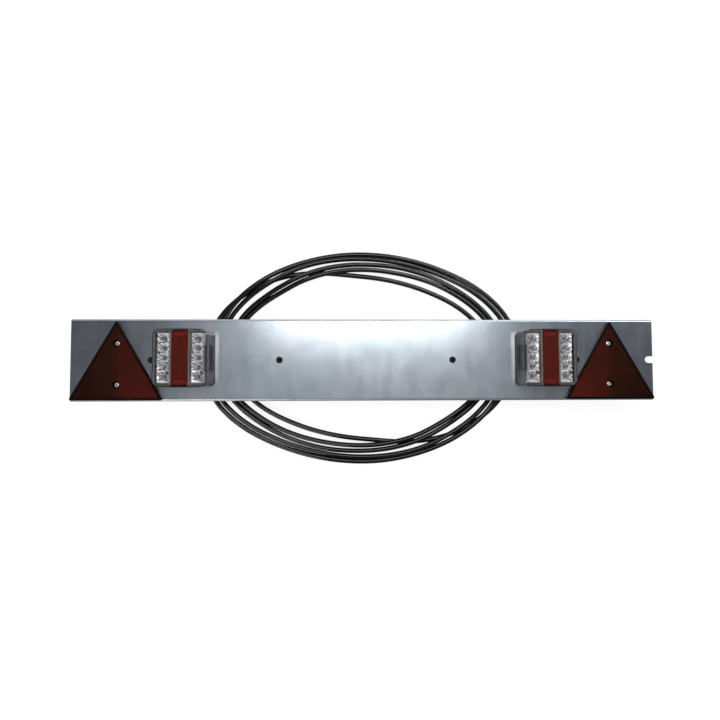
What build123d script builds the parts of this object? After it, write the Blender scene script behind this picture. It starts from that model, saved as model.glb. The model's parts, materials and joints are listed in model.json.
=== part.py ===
from build123d import *
import os
from math import atan, cos, degrees, pi, radians, sqrt, tan

# Trailer lighting board in millimetres: X along the board, Y up the board, Z out of its front face.
# The origin lies on the front face, midway between the two fixing holes.

# Folded steel panel
board_length = 1000.0
board_height = 140.0
sheet_thickness = 1.5
flange_depth = 30.0
inside_bend_radius = 2.5
fixing_spacing = 297.6
outer_hole_spacing = 731.4
fixing_hole_diameter = 11.5
end_slot_depth = 13.4
end_slot_width = 11.5

# Warning triangles
triangle_spacing = 842.0
triangle_side = 157.5
triangle_edge_gap = 2.0
triangle_corner_radius = 3.0
tray_depth = 8.0
tray_floor = 2.5
tray_border = 3.8
triangle_lens_drop = 0.6
triangle_lens_clearance = 0.25
lens_split_width = 0.8
lens_split_depth = 0.5
rivet_spacing = 70.0
lower_rivet_rise = 26.0
rivet_recess_diameter = 13.0

# Small fasteners stay plain: their round sections have this many sides
fastener_sides = 12

# Blind rivets
rivet_body_diameter = 4.0
rivet_hole_clearance = 0.2
rivet_flange_diameter = 9.0
rivet_flange_height = 1.3
rivet_flange_taper = 40.0
rivet_bulge_diameter = 6.2
rivet_bulge_length = 3.5
mandrel_diameter = 2.4
mandrel_recess = 0.8

# Lamps: base and lens
lamp_spacing = 614.8
lamp_rise = 2.4
lamp_base_width = 100.0
lamp_front_width = 88.0
lamp_height = 97.0
lamp_depth = 34.0
lamp_corner_radius = 11.0
lamp_edge_rise = 1.5
lamp_arch_radius = 700.0
lens_edge_bevel = 1.6
lens_wall = 2.5
gasket_thickness = 1.5
gasket_inset = 1.0
gasket_border = 12.0
gasket_corner_cut = 7.0
housing_height = 6.5
housing_floor = 2.5
housing_wall = 5.0
lip_height = 3.0
lip_corner_cut = 8.0
lip_clearance = 0.2

# Lamps: inside
circuit_board_gap = 1.0
circuit_board_margin = 2.2
circuit_board_corner_cut = 7.0
circuit_board_thickness = 1.6
post_size = 6.0
post_pitch = 70.0
bank_gap = 3.1
bank_end_gap = 3.5
bank_lens_gap = 3.5
bank_end_land = 1.75
cup_count = 5
cup_facets = 8
cup_land = 0.9
cup_flare = 2.4
cup_knee_height = 6.5
cup_throat_diameter = 6.4
led_size = 3.6
led_height = 0.8
strip_width = 27.6
strip_end_gap = 1.0
strip_thickness = 4.0
strip_clearance = 0.2
rib_width = 1.4
rib_depth = 5.5
shroud_length = 43.0
shroud_depth = 4.8
shroud_gap = 0.7
shroud_clearance = 0.4
shroud_drop = 2.4
shroud_wall = 1.2
plate_led_pitch = 22.0
plate_led_size = 2.2

# Lamp fixings and cable grommet
bolt_pitch = 60.0
bolt_diameter = 5.0
bolt_clearance = 0.5
bolt_tail = 11.0
bolt_head_flats = 8.0
bolt_head_height = 3.5
washer_diameter = 15.0
washer_thickness = 1.2
nut_flats = 8.0
nut_height = 4.0
thread_clearance = 0.1
grommet_hole_diameter = 14.0
grommet_clearance = 0.1
grommet_flange_diameter = 19.0
grommet_nose_length = 7.0
grommet_nose_diameter = 12.0

# Cable, its coil and its plug
cable_diameter = 8.5
cable_sides = 8
cable_clearance = 0.4
coil_outer_width = 574.0
coil_outer_height = 384.0
coil_inner_width = 456.0
coil_inner_height = 266.0
coil_rise = 7.0
coil_layers = 2
plug_diameter = 42.0
plug_side = -25.0
plug_rear = -70.0
plug_length = 78.0
plug_grip_sides = 16
plug_mouth_diameter = 36.0
plug_mouth_depth = 26.0
plug_bore_depth = 9.0
plug_insert_clearance = 0.2
plug_insert_thickness = 8.0
pin_count = 6
pin_circle = 21.0
pin_diameter = 5.0
pin_length = 16.0
gland_nut_flats = 20.0
gland_nut_length = 11.0

# Levels and sizes that follow from the values above
floor_level = -flange_depth - coil_layers * cable_diameter
plug_level = floor_level + plug_diameter / 2
cable_bore = cable_diameter + cable_clearance
housing_base = gasket_thickness
housing_top = housing_base + housing_height
housing_floor_top = housing_base + housing_floor
lip_top = housing_top + lip_height
circuit_board_rise = lip_top + circuit_board_gap
circuit_board_top = circuit_board_rise + circuit_board_thickness
lens_inside_top = lamp_depth - lens_wall
strip_height = lamp_height - 2 * (lens_wall + strip_end_gap)
bank_height = lamp_height - 2 * (lamp_edge_rise + lens_wall + bank_end_gap)
bank_top = lens_inside_top - bank_lens_gap
cup_pitch = (bank_height - 2 * bank_end_land) / cup_count
cup_mouth_diameter = cup_pitch - cup_land
cup_knee_diameter = cup_mouth_diameter - cup_flare
shroud_top = bank_top - shroud_drop
triangle_base = -board_height / 2 + triangle_edge_gap
triangle_height = triangle_side * sqrt(3) / 2
lower_rivet_level = triangle_base + lower_rivet_rise

# The cable's route where it isn't coiled: lamp to coil, and coil to plug
lead_route = [
    (-307.4, 2.4, 0.0),
    (-307.4, 2.4, -15.7),
    (-304.4, -1.6, -31.5),
    (-297.2, -11.2, -42.5),
    (-288.2, -23.2, -42.5),
]
tail_route = [
    (-216.0, -19.5, -42.5),
    (-207.0, -35.1, -42.5),
    (-191.0, -47.5, -42.5),
    (-171.0, -52.0, -42.1),
    (-150.0, -49.0, -40.0),
    (-132.0, -40.5, -35.3),
    (-116.0, -31.0, -29.4),
    (-92.5, -25.0, -26.0),
    (-68.5, -25.0, -26.0),
]
coil_stub_length = 45.0

sides = (("left", -1), ("right", 1))
cable_ports = [(side * lamp_spacing / 2, lamp_rise) for _, side in sides]
os.makedirs("parts", exist_ok=True)


def save(piece, label):
    piece.part.label = label
    export_step(piece.part, f"parts/{label}.step")


def lamp_plane(side, level):
    """Plane across a lamp at a level above the panel's face, with local X towards the board's end."""
    return Plane(origin=(side * lamp_spacing / 2, lamp_rise, level), x_dir=(side, 0, 0), z_dir=(0, 0, 1))


def lamp_cross_plane(side):
    """Upright plane across a lamp, with local X towards the board's end and local Y out of its front."""
    return Plane(origin=(side * lamp_spacing / 2, lamp_rise, 0), x_dir=(side, 0, 0), z_dir=(0, -side, 0))


def lamp_outline(side, level, width, height):
    """Lamp outline with square corners: upright sides, gently arched top and bottom."""
    shoulder = height / 2 - lamp_edge_rise
    peaks = [(0, height / 2), (0, -height / 2)]
    with BuildSketch(lamp_plane(side, level)) as outline:
        with BuildLine():
            Polyline(
                peaks[0],
                (width / 2, shoulder),
                (width / 2, -shoulder),
                peaks[1],
                (-width / 2, -shoulder),
                (-width / 2, shoulder),
                close=True,
            )
        make_face()
        fillet(outline.vertices().group_by(Axis.X)[1], lamp_arch_radius)
    return outline.sketch


def lamp_corner_edges(piece):
    """The four edges that rise along a lamp's two upright sides."""
    side_faces = piece.faces().sort_by(Axis.X)
    edges = side_faces[0].edges() + side_faces[-1].edges()
    return [edge for edge in edges if abs(edge.tangent_at(0).Z) > 0.5]


def lens_width(level):
    """Outside width of the lens, which narrows from the housing to its front."""
    share = (level - housing_top) / (lamp_depth - housing_top)
    return lamp_base_width + (lamp_front_width - lamp_base_width) * share


def shroud_front(level):
    """How far from a lamp's middle the plate-lamp shroud ends, just inside the lens wall."""
    return lens_width(level) / 2 - lens_wall - shroud_clearance


def cut_corner_rectangle(side, level, width, height, corner_cut):
    """Rectangle across a lamp with its four corners cut off."""
    with BuildSketch(lamp_plane(side, level)) as outline:
        Rectangle(width, height)
        chamfer(outline.vertices(), corner_cut)
    return outline.sketch


def small_rounds(places, level, diameter):
    """Plain round sections of small fasteners at a level."""
    with BuildSketch(Plane.XY.offset(level)) as sections:
        with Locations(*places):
            RegularPolygon(diameter / 2, fastener_sides)
    return sections.sketch


def triangle_outline(side, level, inset):
    """Rounded triangle with its apex up, set in from the tray's edge by the inset."""
    edge = triangle_side - 2 * sqrt(3) * inset
    plane = Plane(origin=(side * triangle_spacing / 2, triangle_base + inset, level))
    with BuildSketch(plane) as outline:
        with BuildLine():
            Polyline((-edge / 2, 0), (edge / 2, 0), (0, edge * sqrt(3) / 2), close=True)
        make_face()
        fillet(outline.vertices(), triangle_corner_radius)
    return outline.sketch


def rivet_places():
    """The four rivet centres on the board."""
    return [
        (side * triangle_spacing / 2, lower_rivet_level + rise)
        for _, side in sides
        for rise in (0, rivet_spacing)
    ]


def lamp_bolt_places():
    """The four lamp bolt centres on the board."""
    return [
        (side * lamp_spacing / 2, lamp_rise + rise)
        for _, side in sides
        for rise in (-bolt_pitch / 2, bolt_pitch / 2)
    ]


def cable_section(origin, direction):
    """The cable's section across a direction, with flats in place of its round."""
    with BuildSketch(Plane(origin=origin, z_dir=direction)) as section:
        RegularPolygon(cable_diameter / 2, cable_sides)
    return section.sketch


def corner_radii(route):
    """Radius at each corner of a cable route, as large as the two runs beside it allow."""
    points = [Vector(*point) for point in route]
    radii = []
    for before, here, after in zip(points, points[1:], points[2:]):
        turn = (here - before).get_angle(after - here)
        shorter = min((here - before).length, (after - here).length)
        radii.append(0.45 * shorter / tan(radians(turn) / 2))
    return radii


def cable_tube(route, label):
    radii = corner_radii(route)
    with BuildPart() as tube:
        with BuildLine() as path:
            FilletPolyline(*route, radius=radii)
        section = cable_section(route[0], path.line % 0)
        sweep(section)
    length = path.wire().length
    print(label, "radii", [round(radius, 1) for radius in radii], "length", round(length, 1),
          "volume over section times length", round(tube.part.volume / (section.area * length), 4))
    save(tube, label)


def plug_plane(along):
    """Plane across the plug at a distance from its rear end, looking out of its mouth."""
    return Plane(origin=(plug_rear + along, plug_side, plug_level), x_dir=(0, 1, 0), z_dir=(1, 0, 0))


# Folded panel with its holes, cable ports and end slot
with BuildPart() as board_panel:
    with BuildSketch(Plane.YZ):
        with BuildLine():
            FilletPolyline(
                (-board_height / 2, -flange_depth),
                (-board_height / 2, 0),
                (board_height / 2, 0),
                (board_height / 2, -flange_depth),
                radius=inside_bend_radius + sheet_thickness,
            )
            offset(amount=sheet_thickness, side=Side.RIGHT)
        make_face()
    extrude(amount=board_length / 2, both=True)
    with GridLocations(fixing_spacing, 1, 2, 1):
        Hole(fixing_hole_diameter / 2)
    with GridLocations(outer_hole_spacing, 1, 2, 1):
        Hole(fixing_hole_diameter / 2)
    with Locations((0, lamp_rise)):
        with GridLocations(lamp_spacing, 1, 2, 1):
            Hole(grommet_hole_diameter / 2)
    bolt_holes = small_rounds(lamp_bolt_places(), 0, bolt_diameter + bolt_clearance)
    extrude(bolt_holes, amount=-sheet_thickness, mode=Mode.SUBTRACT)
    rivet_holes = small_rounds(rivet_places(), 0, rivet_body_diameter + rivet_hole_clearance)
    extrude(rivet_holes, amount=-sheet_thickness, mode=Mode.SUBTRACT)
    with BuildSketch():
        with Locations((board_length / 2 - end_slot_depth + end_slot_width / 2, 0)):
            Circle(end_slot_width / 2)
            Rectangle(end_slot_depth, end_slot_width, align=(Align.MIN, Align.CENTER))
    extrude(amount=-sheet_thickness, mode=Mode.SUBTRACT)
save(board_panel, "board_panel")

# Warning triangles: bordered tray, and the lens inside its border with a recess round each rivet
for side_name, side in sides:
    lens_top = tray_depth - triangle_lens_drop
    with BuildPart() as reflector_tray:
        extrude(triangle_outline(side, 0, 0), amount=tray_depth)
        extrude(triangle_outline(side, tray_floor, tray_border), amount=tray_depth, mode=Mode.SUBTRACT)
        holes = small_rounds(rivet_places(), tray_floor, rivet_body_diameter + rivet_hole_clearance)
        extrude(holes, amount=-tray_floor, mode=Mode.SUBTRACT)
        chamfer(reflector_tray.faces().sort_by(Axis.Z)[-1].outer_wire().edges(), tray_border / 3)
    save(reflector_tray, f"{side_name}_reflector_tray")

    with BuildPart() as reflector_lens:
        lens_inset = tray_border + triangle_lens_clearance
        extrude(triangle_outline(side, tray_floor, lens_inset), amount=lens_top - tray_floor)
        with BuildSketch(Plane.XY.offset(tray_floor)):
            with Locations(*rivet_places()):
                Circle(rivet_recess_diameter / 2)
        extrude(amount=tray_depth, mode=Mode.SUBTRACT)
        with BuildSketch(Plane(origin=(side * triangle_spacing / 2, triangle_base, lens_top))):
            Rectangle(lens_split_width, triangle_height, align=(Align.CENTER, Align.MIN))
        extrude(amount=-lens_split_depth, mode=Mode.SUBTRACT)
    save(reflector_lens, f"{side_name}_reflector_lens")

# Blind rivets through tray and panel, each with the stub of its mandrel left inside
rivet_tail_level = -sheet_thickness - rivet_bulge_length
with BuildPart() as reflector_rivets:
    flanges = small_rounds(rivet_places(), tray_floor, rivet_flange_diameter)
    extrude(flanges, amount=rivet_flange_height, taper=rivet_flange_taper)
    bodies = small_rounds(rivet_places(), tray_floor, rivet_body_diameter)
    extrude(bodies, amount=rivet_tail_level - tray_floor)
    bulges = small_rounds(rivet_places(), -sheet_thickness, rivet_bulge_diameter)
    extrude(bulges, amount=-rivet_bulge_length)
    bores = small_rounds(rivet_places(), rivet_tail_level, mandrel_diameter)
    extrude(bores, amount=tray_floor + rivet_flange_height - rivet_tail_level, mode=Mode.SUBTRACT)
save(reflector_rivets, "reflector_rivets")

with BuildPart() as rivet_mandrels:
    mandrel_top = tray_floor + rivet_flange_height - mandrel_recess
    stubs = small_rounds(rivet_places(), rivet_tail_level, mandrel_diameter)
    extrude(stubs, amount=mandrel_top - rivet_tail_level)
save(rivet_mandrels, "rivet_mandrels")

# One reflector cup, drawn mouth down and cut from the banks: a faceted bowl in two tiers
with BuildPart() as cup:
    flat_share = cos(pi / cup_facets)
    bowl_height = bank_top - circuit_board_top
    rim_height = bowl_height - cup_knee_height
    tiers = (
        (0, rim_height, cup_mouth_diameter, cup_knee_diameter),
        (rim_height, cup_knee_height, cup_knee_diameter, cup_throat_diameter),
    )
    for start, height, wide, narrow in tiers:
        with BuildSketch(Plane.XY.offset(start)):
            RegularPolygon(wide / 2, cup_facets, rotation=180 / cup_facets)
        extrude(amount=height, taper=degrees(atan((wide - narrow) / 2 * flat_share / height)))

# Across a lamp, from its middle: strip, rib, bank, and a plate-lamp shroud against the lens wall
bank_start = strip_width / 2 + strip_clearance + rib_width + bank_gap
shroud_back = shroud_front(shroud_top) - shroud_depth
bank_width = shroud_back - shroud_gap - bank_start
bank_offset = bank_start + bank_width / 2

# Lamps, one on each side of the board
for side_name, side in sides:
    bank_places = (("indicator", bank_offset), ("stop", -bank_offset))

    with BuildPart() as lamp_gasket:
        gasket_width = lamp_base_width - 2 * gasket_inset
        gasket_height = lamp_height - 2 * (gasket_inset + lamp_edge_rise)
        extrude(
            cut_corner_rectangle(side, 0, gasket_width, gasket_height, gasket_corner_cut),
            amount=gasket_thickness,
        )
        with BuildSketch(lamp_plane(side, 0)):
            Rectangle(gasket_width - 2 * gasket_border, gasket_height - 2 * gasket_border)
        extrude(amount=gasket_thickness, mode=Mode.SUBTRACT)
    save(lamp_gasket, f"{side_name}_lamp_gasket")

    with BuildPart() as lamp_housing:
        extrude(lamp_outline(side, housing_base, lamp_base_width, lamp_height), amount=housing_height)
        fillet(lamp_corner_edges(lamp_housing), lamp_corner_radius)
        lip_width = lens_width(lip_top) - 2 * (lens_wall + lip_clearance)
        lip_tall = lamp_height - 2 * (lamp_edge_rise + lens_wall + lip_clearance)
        lip = cut_corner_rectangle(side, housing_top, lip_width, lip_tall, lip_corner_cut)
        extrude(lip, amount=lip_height)
        with BuildSketch(lamp_plane(side, housing_floor_top)):
            Rectangle(lamp_base_width - 2 * housing_wall, lamp_height - 2 * housing_wall)
        extrude(amount=housing_height + lip_height, mode=Mode.SUBTRACT)
        with BuildSketch(lamp_plane(side, housing_floor_top)):
            with GridLocations(post_pitch, post_pitch, 2, 2):
                Rectangle(post_size, post_size)
        extrude(amount=circuit_board_rise - housing_floor_top)
        cable_holes = small_rounds(cable_ports, housing_base, cable_bore)
        extrude(cable_holes, amount=housing_floor, mode=Mode.SUBTRACT)
        bolt_holes = small_rounds(lamp_bolt_places(), housing_base, bolt_diameter + bolt_clearance)
        extrude(bolt_holes, amount=housing_floor, mode=Mode.SUBTRACT)
    save(lamp_housing, f"{side_name}_lamp_housing")

    with BuildPart() as lamp_circuit_board:
        board_inset = lens_wall + circuit_board_margin
        extrude(
            cut_corner_rectangle(
                side, circuit_board_rise, lens_width(circuit_board_top) - 2 * board_inset,
                lamp_height - 2 * (lamp_edge_rise + board_inset), circuit_board_corner_cut),
            amount=circuit_board_thickness,
        )
    save(lamp_circuit_board, f"{side_name}_lamp_circuit_board")

    with BuildPart() as lamp_leds:
        with BuildSketch(lamp_plane(side, circuit_board_top)):
            with GridLocations(2 * bank_offset, cup_pitch, 2, cup_count):
                Rectangle(led_size, led_size)
            with Locations((-shroud_back - (shroud_wall + shroud_depth) / 2, 0)):
                with GridLocations(1, plate_led_pitch, 1, 2):
                    Rectangle(plate_led_size, plate_led_size)
        extrude(amount=led_height)
    save(lamp_leds, f"{side_name}_lamp_leds")

    for bank_name, bank_x in bank_places:
        bank_centre = (side * (lamp_spacing / 2 + bank_x), lamp_rise, bank_top)
        with BuildPart() as reflector_bank:
            with Locations(bank_centre):
                Box(bank_width, bank_height, bowl_height, align=(Align.CENTER, Align.CENTER, Align.MAX))
                with GridLocations(1, cup_pitch, 1, cup_count):
                    add(cup.part, rotation=(180, 0, 0), mode=Mode.SUBTRACT)
        save(reflector_bank, f"{side_name}_{bank_name}_reflector")

    with BuildPart() as plate_lamp_shroud:
        with BuildSketch(lamp_cross_plane(side)):
            with BuildLine():
                Polyline(
                    (-shroud_back, circuit_board_top),
                    (-shroud_back, shroud_top),
                    (-shroud_front(shroud_top), shroud_top),
                    (-shroud_front(circuit_board_top), circuit_board_top),
                    close=True,
                )
            make_face()
        extrude(amount=shroud_length / 2, both=True)
        with BuildSketch(lamp_plane(side, circuit_board_top)):
            with Locations((-shroud_back - shroud_wall, 0)):
                shroud_foot = shroud_front(circuit_board_top) - shroud_back
                Rectangle(shroud_foot, shroud_length - 2 * shroud_wall, align=(Align.MAX, Align.CENTER))
        extrude(amount=shroud_top - circuit_board_top - shroud_wall, mode=Mode.SUBTRACT)
    save(plate_lamp_shroud, f"{side_name}_plate_lamp_shroud")

    with BuildPart() as lamp_lens:
        lens_foot = lamp_outline(side, housing_top, lamp_base_width, lamp_height)
        extrude(lens_foot, amount=lamp_depth - housing_top)
        with BuildSketch(lamp_cross_plane(side)):
            with BuildLine():
                Polyline(
                    (-lamp_base_width / 2, housing_top),
                    (lamp_base_width / 2, housing_top),
                    (lamp_front_width / 2, lamp_depth),
                    (-lamp_front_width / 2, lamp_depth),
                    close=True,
                )
            make_face()
        extrude(amount=lamp_height, both=True, mode=Mode.INTERSECT)
        fillet(lamp_corner_edges(lamp_lens), lamp_corner_radius)
        offset(amount=-lens_wall, openings=lamp_lens.faces().sort_by(Axis.Z)[0])
        chamfer(lamp_lens.faces().sort_by(Axis.Z)[-1].edges(), lens_edge_bevel)
        with BuildSketch(lamp_plane(side, lens_inside_top)):
            with GridLocations(strip_width + 2 * strip_clearance + rib_width, 1, 2, 1):
                Rectangle(rib_width, strip_height)
        extrude(amount=-rib_depth)
    save(lamp_lens, f"{side_name}_lamp_lens")

    with BuildPart() as reflex_strip:
        with BuildSketch(lamp_plane(side, lens_inside_top)):
            Rectangle(strip_width, strip_height)
        extrude(amount=-strip_thickness)
    save(reflex_strip, f"{side_name}_reflex_strip")

# Rubber grommets in the panel's cable ports, one behind each lamp: brim, groove for the sheet, tapered nose
nose_taper = degrees(atan((grommet_flange_diameter - grommet_nose_diameter) / 2 / grommet_nose_length))
with BuildPart() as cable_grommets:
    extrude(small_rounds(cable_ports, 0, grommet_flange_diameter), amount=gasket_thickness)
    extrude(small_rounds(cable_ports, 0, grommet_hole_diameter - grommet_clearance), amount=-sheet_thickness)
    with BuildSketch(-Plane.XY.offset(-sheet_thickness)):
        with Locations(*[(x, -y) for x, y in cable_ports]):
            RegularPolygon(grommet_flange_diameter / 2, fastener_sides)
    extrude(amount=grommet_nose_length, taper=nose_taper)
    grommet_length = gasket_thickness + sheet_thickness + grommet_nose_length
    bores = small_rounds(cable_ports, gasket_thickness, cable_bore)
    extrude(bores, amount=-grommet_length, mode=Mode.SUBTRACT)
save(cable_grommets, "cable_grommets")

# Lamp fixings: bolt heads on the housing floors, washers and nuts behind the sheet
with BuildPart() as lamp_bolts:
    with BuildSketch(Plane.XY.offset(housing_floor_top)):
        with Locations(*lamp_bolt_places()):
            RegularPolygon(bolt_head_flats / 2, 6, major_radius=False)
    extrude(amount=bolt_head_height)
    shanks = small_rounds(lamp_bolt_places(), housing_floor_top, bolt_diameter)
    extrude(shanks, amount=-housing_floor_top - bolt_tail)
save(lamp_bolts, "lamp_bolts")

with BuildPart() as lamp_washers:
    discs = small_rounds(lamp_bolt_places(), -sheet_thickness, washer_diameter)
    extrude(discs, amount=-washer_thickness)
    bores = small_rounds(lamp_bolt_places(), -sheet_thickness, bolt_diameter + bolt_clearance)
    extrude(bores, amount=-washer_thickness, mode=Mode.SUBTRACT)
save(lamp_washers, "lamp_washers")

with BuildPart() as lamp_nuts:
    nut_seat = -sheet_thickness - washer_thickness
    with BuildSketch(Plane.XY.offset(nut_seat)):
        with Locations(*lamp_bolt_places()):
            RegularPolygon(nut_flats / 2, 6, major_radius=False)
    extrude(amount=-nut_height)
    bores = small_rounds(lamp_bolt_places(), nut_seat, bolt_diameter + thread_clearance)
    extrude(bores, amount=-nut_height, mode=Mode.SUBTRACT)
save(lamp_nuts, "lamp_nuts")

# Cable: a tube from lamp to coil, the coil's outer form with its two ends, and a tube from coil to plug
cable_tube(lead_route, "cable_lead")
cable_tube(tail_route, "cable_tail")
lead_run = (Vector(*lead_route[-1]) - Vector(*lead_route[-2])).normalized()
tail_run = (Vector(*tail_route[1]) - Vector(*tail_route[0])).normalized()
with BuildPart() as cable_coil:
    with BuildSketch(Plane.XY.offset(floor_level)):
        with Locations((0, coil_rise)):
            Ellipse(coil_outer_width / 2, coil_outer_height / 2)
            Ellipse(coil_inner_width / 2, coil_inner_height / 2, mode=Mode.SUBTRACT)
    extrude(amount=coil_layers * cable_diameter)
    extrude(cable_section(lead_route[-1], lead_run), amount=coil_stub_length)
    extrude(cable_section(tail_route[0], -tail_run), amount=coil_stub_length)
save(cable_coil, "cable_coil")

# Plug, lying on the floor along X with its mouth towards +X: a ribbed grip, insert, pins and gland nut
insert_seat = plug_length - plug_mouth_depth
with BuildPart() as plug_body:
    with BuildSketch(plug_plane(0)):
        RegularPolygon(plug_diameter / 2, plug_grip_sides, major_radius=False, rotation=180 / plug_grip_sides)
    extrude(amount=plug_length)
    with BuildSketch(plug_plane(insert_seat)):
        Circle(plug_mouth_diameter / 2)
    extrude(amount=plug_mouth_depth, mode=Mode.SUBTRACT)
    with BuildSketch(plug_plane(0)):
        RegularPolygon(cable_bore / 2, fastener_sides)
    extrude(amount=plug_bore_depth, mode=Mode.SUBTRACT)
save(plug_body, "plug_body")

with BuildPart() as plug_insert:
    with BuildSketch(plug_plane(insert_seat)):
        RegularPolygon(plug_mouth_diameter / 2 - plug_insert_clearance, plug_grip_sides)
    extrude(amount=plug_insert_thickness)
save(plug_insert, "plug_insert")

with BuildPart() as plug_pins:
    with BuildSketch(plug_plane(insert_seat + plug_insert_thickness)):
        RegularPolygon(pin_diameter / 2, fastener_sides)
        with PolarLocations(pin_circle / 2, pin_count):
            RegularPolygon(pin_diameter / 2, fastener_sides)
    extrude(amount=pin_length)
save(plug_pins, "plug_pins")

with BuildPart() as plug_gland_nut:
    with BuildSketch(plug_plane(0)):
        RegularPolygon(gland_nut_flats / 2, 6, major_radius=False)
        RegularPolygon(cable_bore / 2, fastener_sides, mode=Mode.SUBTRACT)
    extrude(amount=-gland_nut_length)
save(plug_gland_nut, "plug_gland_nut")
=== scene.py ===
import json
from math import cos, pi, radians, sin, tau

import bmesh
import bpy
import numpy as np
from bpy.props import FloatProperty, FloatVectorProperty, IntProperty, PointerProperty
from mathutils import Matrix, Vector


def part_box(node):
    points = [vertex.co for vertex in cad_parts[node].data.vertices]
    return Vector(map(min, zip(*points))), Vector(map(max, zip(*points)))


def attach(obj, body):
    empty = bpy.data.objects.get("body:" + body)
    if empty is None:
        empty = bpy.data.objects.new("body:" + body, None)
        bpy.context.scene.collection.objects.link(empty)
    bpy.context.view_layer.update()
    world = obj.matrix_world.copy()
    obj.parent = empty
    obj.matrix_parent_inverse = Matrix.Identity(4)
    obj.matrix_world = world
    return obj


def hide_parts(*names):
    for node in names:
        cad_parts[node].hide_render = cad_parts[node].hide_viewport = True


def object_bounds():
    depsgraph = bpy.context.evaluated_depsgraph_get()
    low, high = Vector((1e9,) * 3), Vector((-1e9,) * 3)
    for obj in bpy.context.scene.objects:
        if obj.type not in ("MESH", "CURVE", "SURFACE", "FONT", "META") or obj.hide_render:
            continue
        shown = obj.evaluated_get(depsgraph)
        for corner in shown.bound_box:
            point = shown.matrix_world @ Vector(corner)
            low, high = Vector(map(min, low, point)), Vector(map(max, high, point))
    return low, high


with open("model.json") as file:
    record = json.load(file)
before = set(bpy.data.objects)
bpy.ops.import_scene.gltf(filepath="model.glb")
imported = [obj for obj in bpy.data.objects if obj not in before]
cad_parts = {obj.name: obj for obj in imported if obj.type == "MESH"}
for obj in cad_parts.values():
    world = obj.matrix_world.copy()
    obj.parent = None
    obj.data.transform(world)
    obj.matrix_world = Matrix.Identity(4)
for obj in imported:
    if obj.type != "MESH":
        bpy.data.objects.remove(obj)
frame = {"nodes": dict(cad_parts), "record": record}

bl_info = {
    "name": "Trailer Lighting Board",
    "version": (1, 0, 0),
    "blender": (4, 5, 0),
    "location": "View3D > Sidebar > Lighting Board",
    "description": "Dresses a trailer lighting board: sheet, triangles, LED lamps, coiled cable and plug",
    "category": "Object",
}

CAD_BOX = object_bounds()
NODES = frame["nodes"]
MM = 0.001
SIDES = ("left", "right")
BANKS = ("indicator", "stop")

# The cable's route in metres where it isn't coiled: lamp to coil, and coil to plug
LEAD_ROUTE = (
    (-0.3074, 0.0024, 0.0),
    (-0.3074, 0.0024, -0.0157),
    (-0.3044, -0.0016, -0.0315),
    (-0.2972, -0.0112, -0.0425),
    (-0.2882, -0.0232, -0.0425),
)
TAIL_ROUTE = (
    (-0.2160, -0.0195, -0.0425),
    (-0.2070, -0.0351, -0.0425),
    (-0.1910, -0.0475, -0.0425),
    (-0.1710, -0.0520, -0.0421),
    (-0.1500, -0.0490, -0.0400),
    (-0.1320, -0.0405, -0.0353),
    (-0.1160, -0.0310, -0.0294),
    (-0.0925, -0.0250, -0.0260),
    (-0.0685, -0.0250, -0.0260),
)

# How five strands share half a turn of the coil, inner lane 0 and outer lane 1, at these angles in degrees.
# The first runs inside and then under the others, which rise over it at their crossings, to the outside.
STATIONS = (22.0, 45.0, 60.0, 80.0, 95.0, 104.0, 113.0, 130.0, 155.0)
STRANDS = (
    (-0.130, -0.170, -0.175, -0.050, 0.085, 0.290, 0.550, 0.840, 1.000),
    (0.225, 0.225, 0.280, 0.330, 0.345, 0.330, 0.290, 0.140, 0.155),
    (0.400, 0.410, 0.500, 0.610, 0.590, 0.560, 0.510, 0.335, 0.330),
    (0.750, 0.740, 0.720, 0.825, 0.885, 0.880, 0.860, 0.700, 0.665),
    (0.955, 0.950, 0.935, 1.032, 1.085, 1.080, 1.060, 0.955, 0.830),
)
CROSSINGS = (None, 104.0, 112.0, 124.0, 138.0)

# Angles in degrees where the coil starts, how far it runs past its last station, and how far from a crossing
# a strand begins to rise and how soon it is up; then how the lower half's lean sets in down the board
COIL_START = 205.0
COIL_OVERRUN = 13.0
HUMP_REACH = 26.0
HUMP_SLOPE = 14.0
LEAN_AT_MIDDLE = 0.5
LEAN_GROWTH = 1.5

# Turned pieces as (radius, height) in millimetres; a third value gives that ring so many flats
RIVET_PROFILE = (
    (1.2, -5.0), (1.2, 2.5), (1.75, 3.62), (2.1, 3.8), (2.9, 3.66), (3.8, 3.28), (4.35, 2.82), (4.5, 2.5),
    (2.0, 2.5), (2.0, -1.5), (2.75, -1.62), (3.1, -2.3), (3.1, -3.7), (2.7, -4.6), (2.0, -5.0),
)
MANDREL_PROFILE = ((0, -5.0), (1.15, -5.0), (1.15, 2.1), (1.0, 2.5), (0.6, 2.62), (0.25, 2.5), (0, 2.45))
BOLT_HEAD = ((0, 7.5), (3.8, 7.5), (4.0, 7.1, 6), (4.0, 4.0, 6), (2.5, 4.0), (2.5, -6.8))
BOLT_TIP = ((2.0, -11.0), (0, -11.0))
BOLT_THREAD = {"radius": 2.5, "pitch": 0.8, "depth": 0.4, "top": -6.8, "bottom": -10.5}
WASHER_PROFILE = ((2.75, -1.5), (7.3, -1.5), (7.5, -1.65), (7.5, -2.55), (7.3, -2.7), (2.75, -2.7))
NUT_PROFILE = (
    (2.55, -2.7), (3.85, -2.7), (4.0, -3.1, 6), (4.0, -6.3, 6), (3.85, -6.7), (2.95, -6.7), (2.55, -6.3),
)
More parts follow.
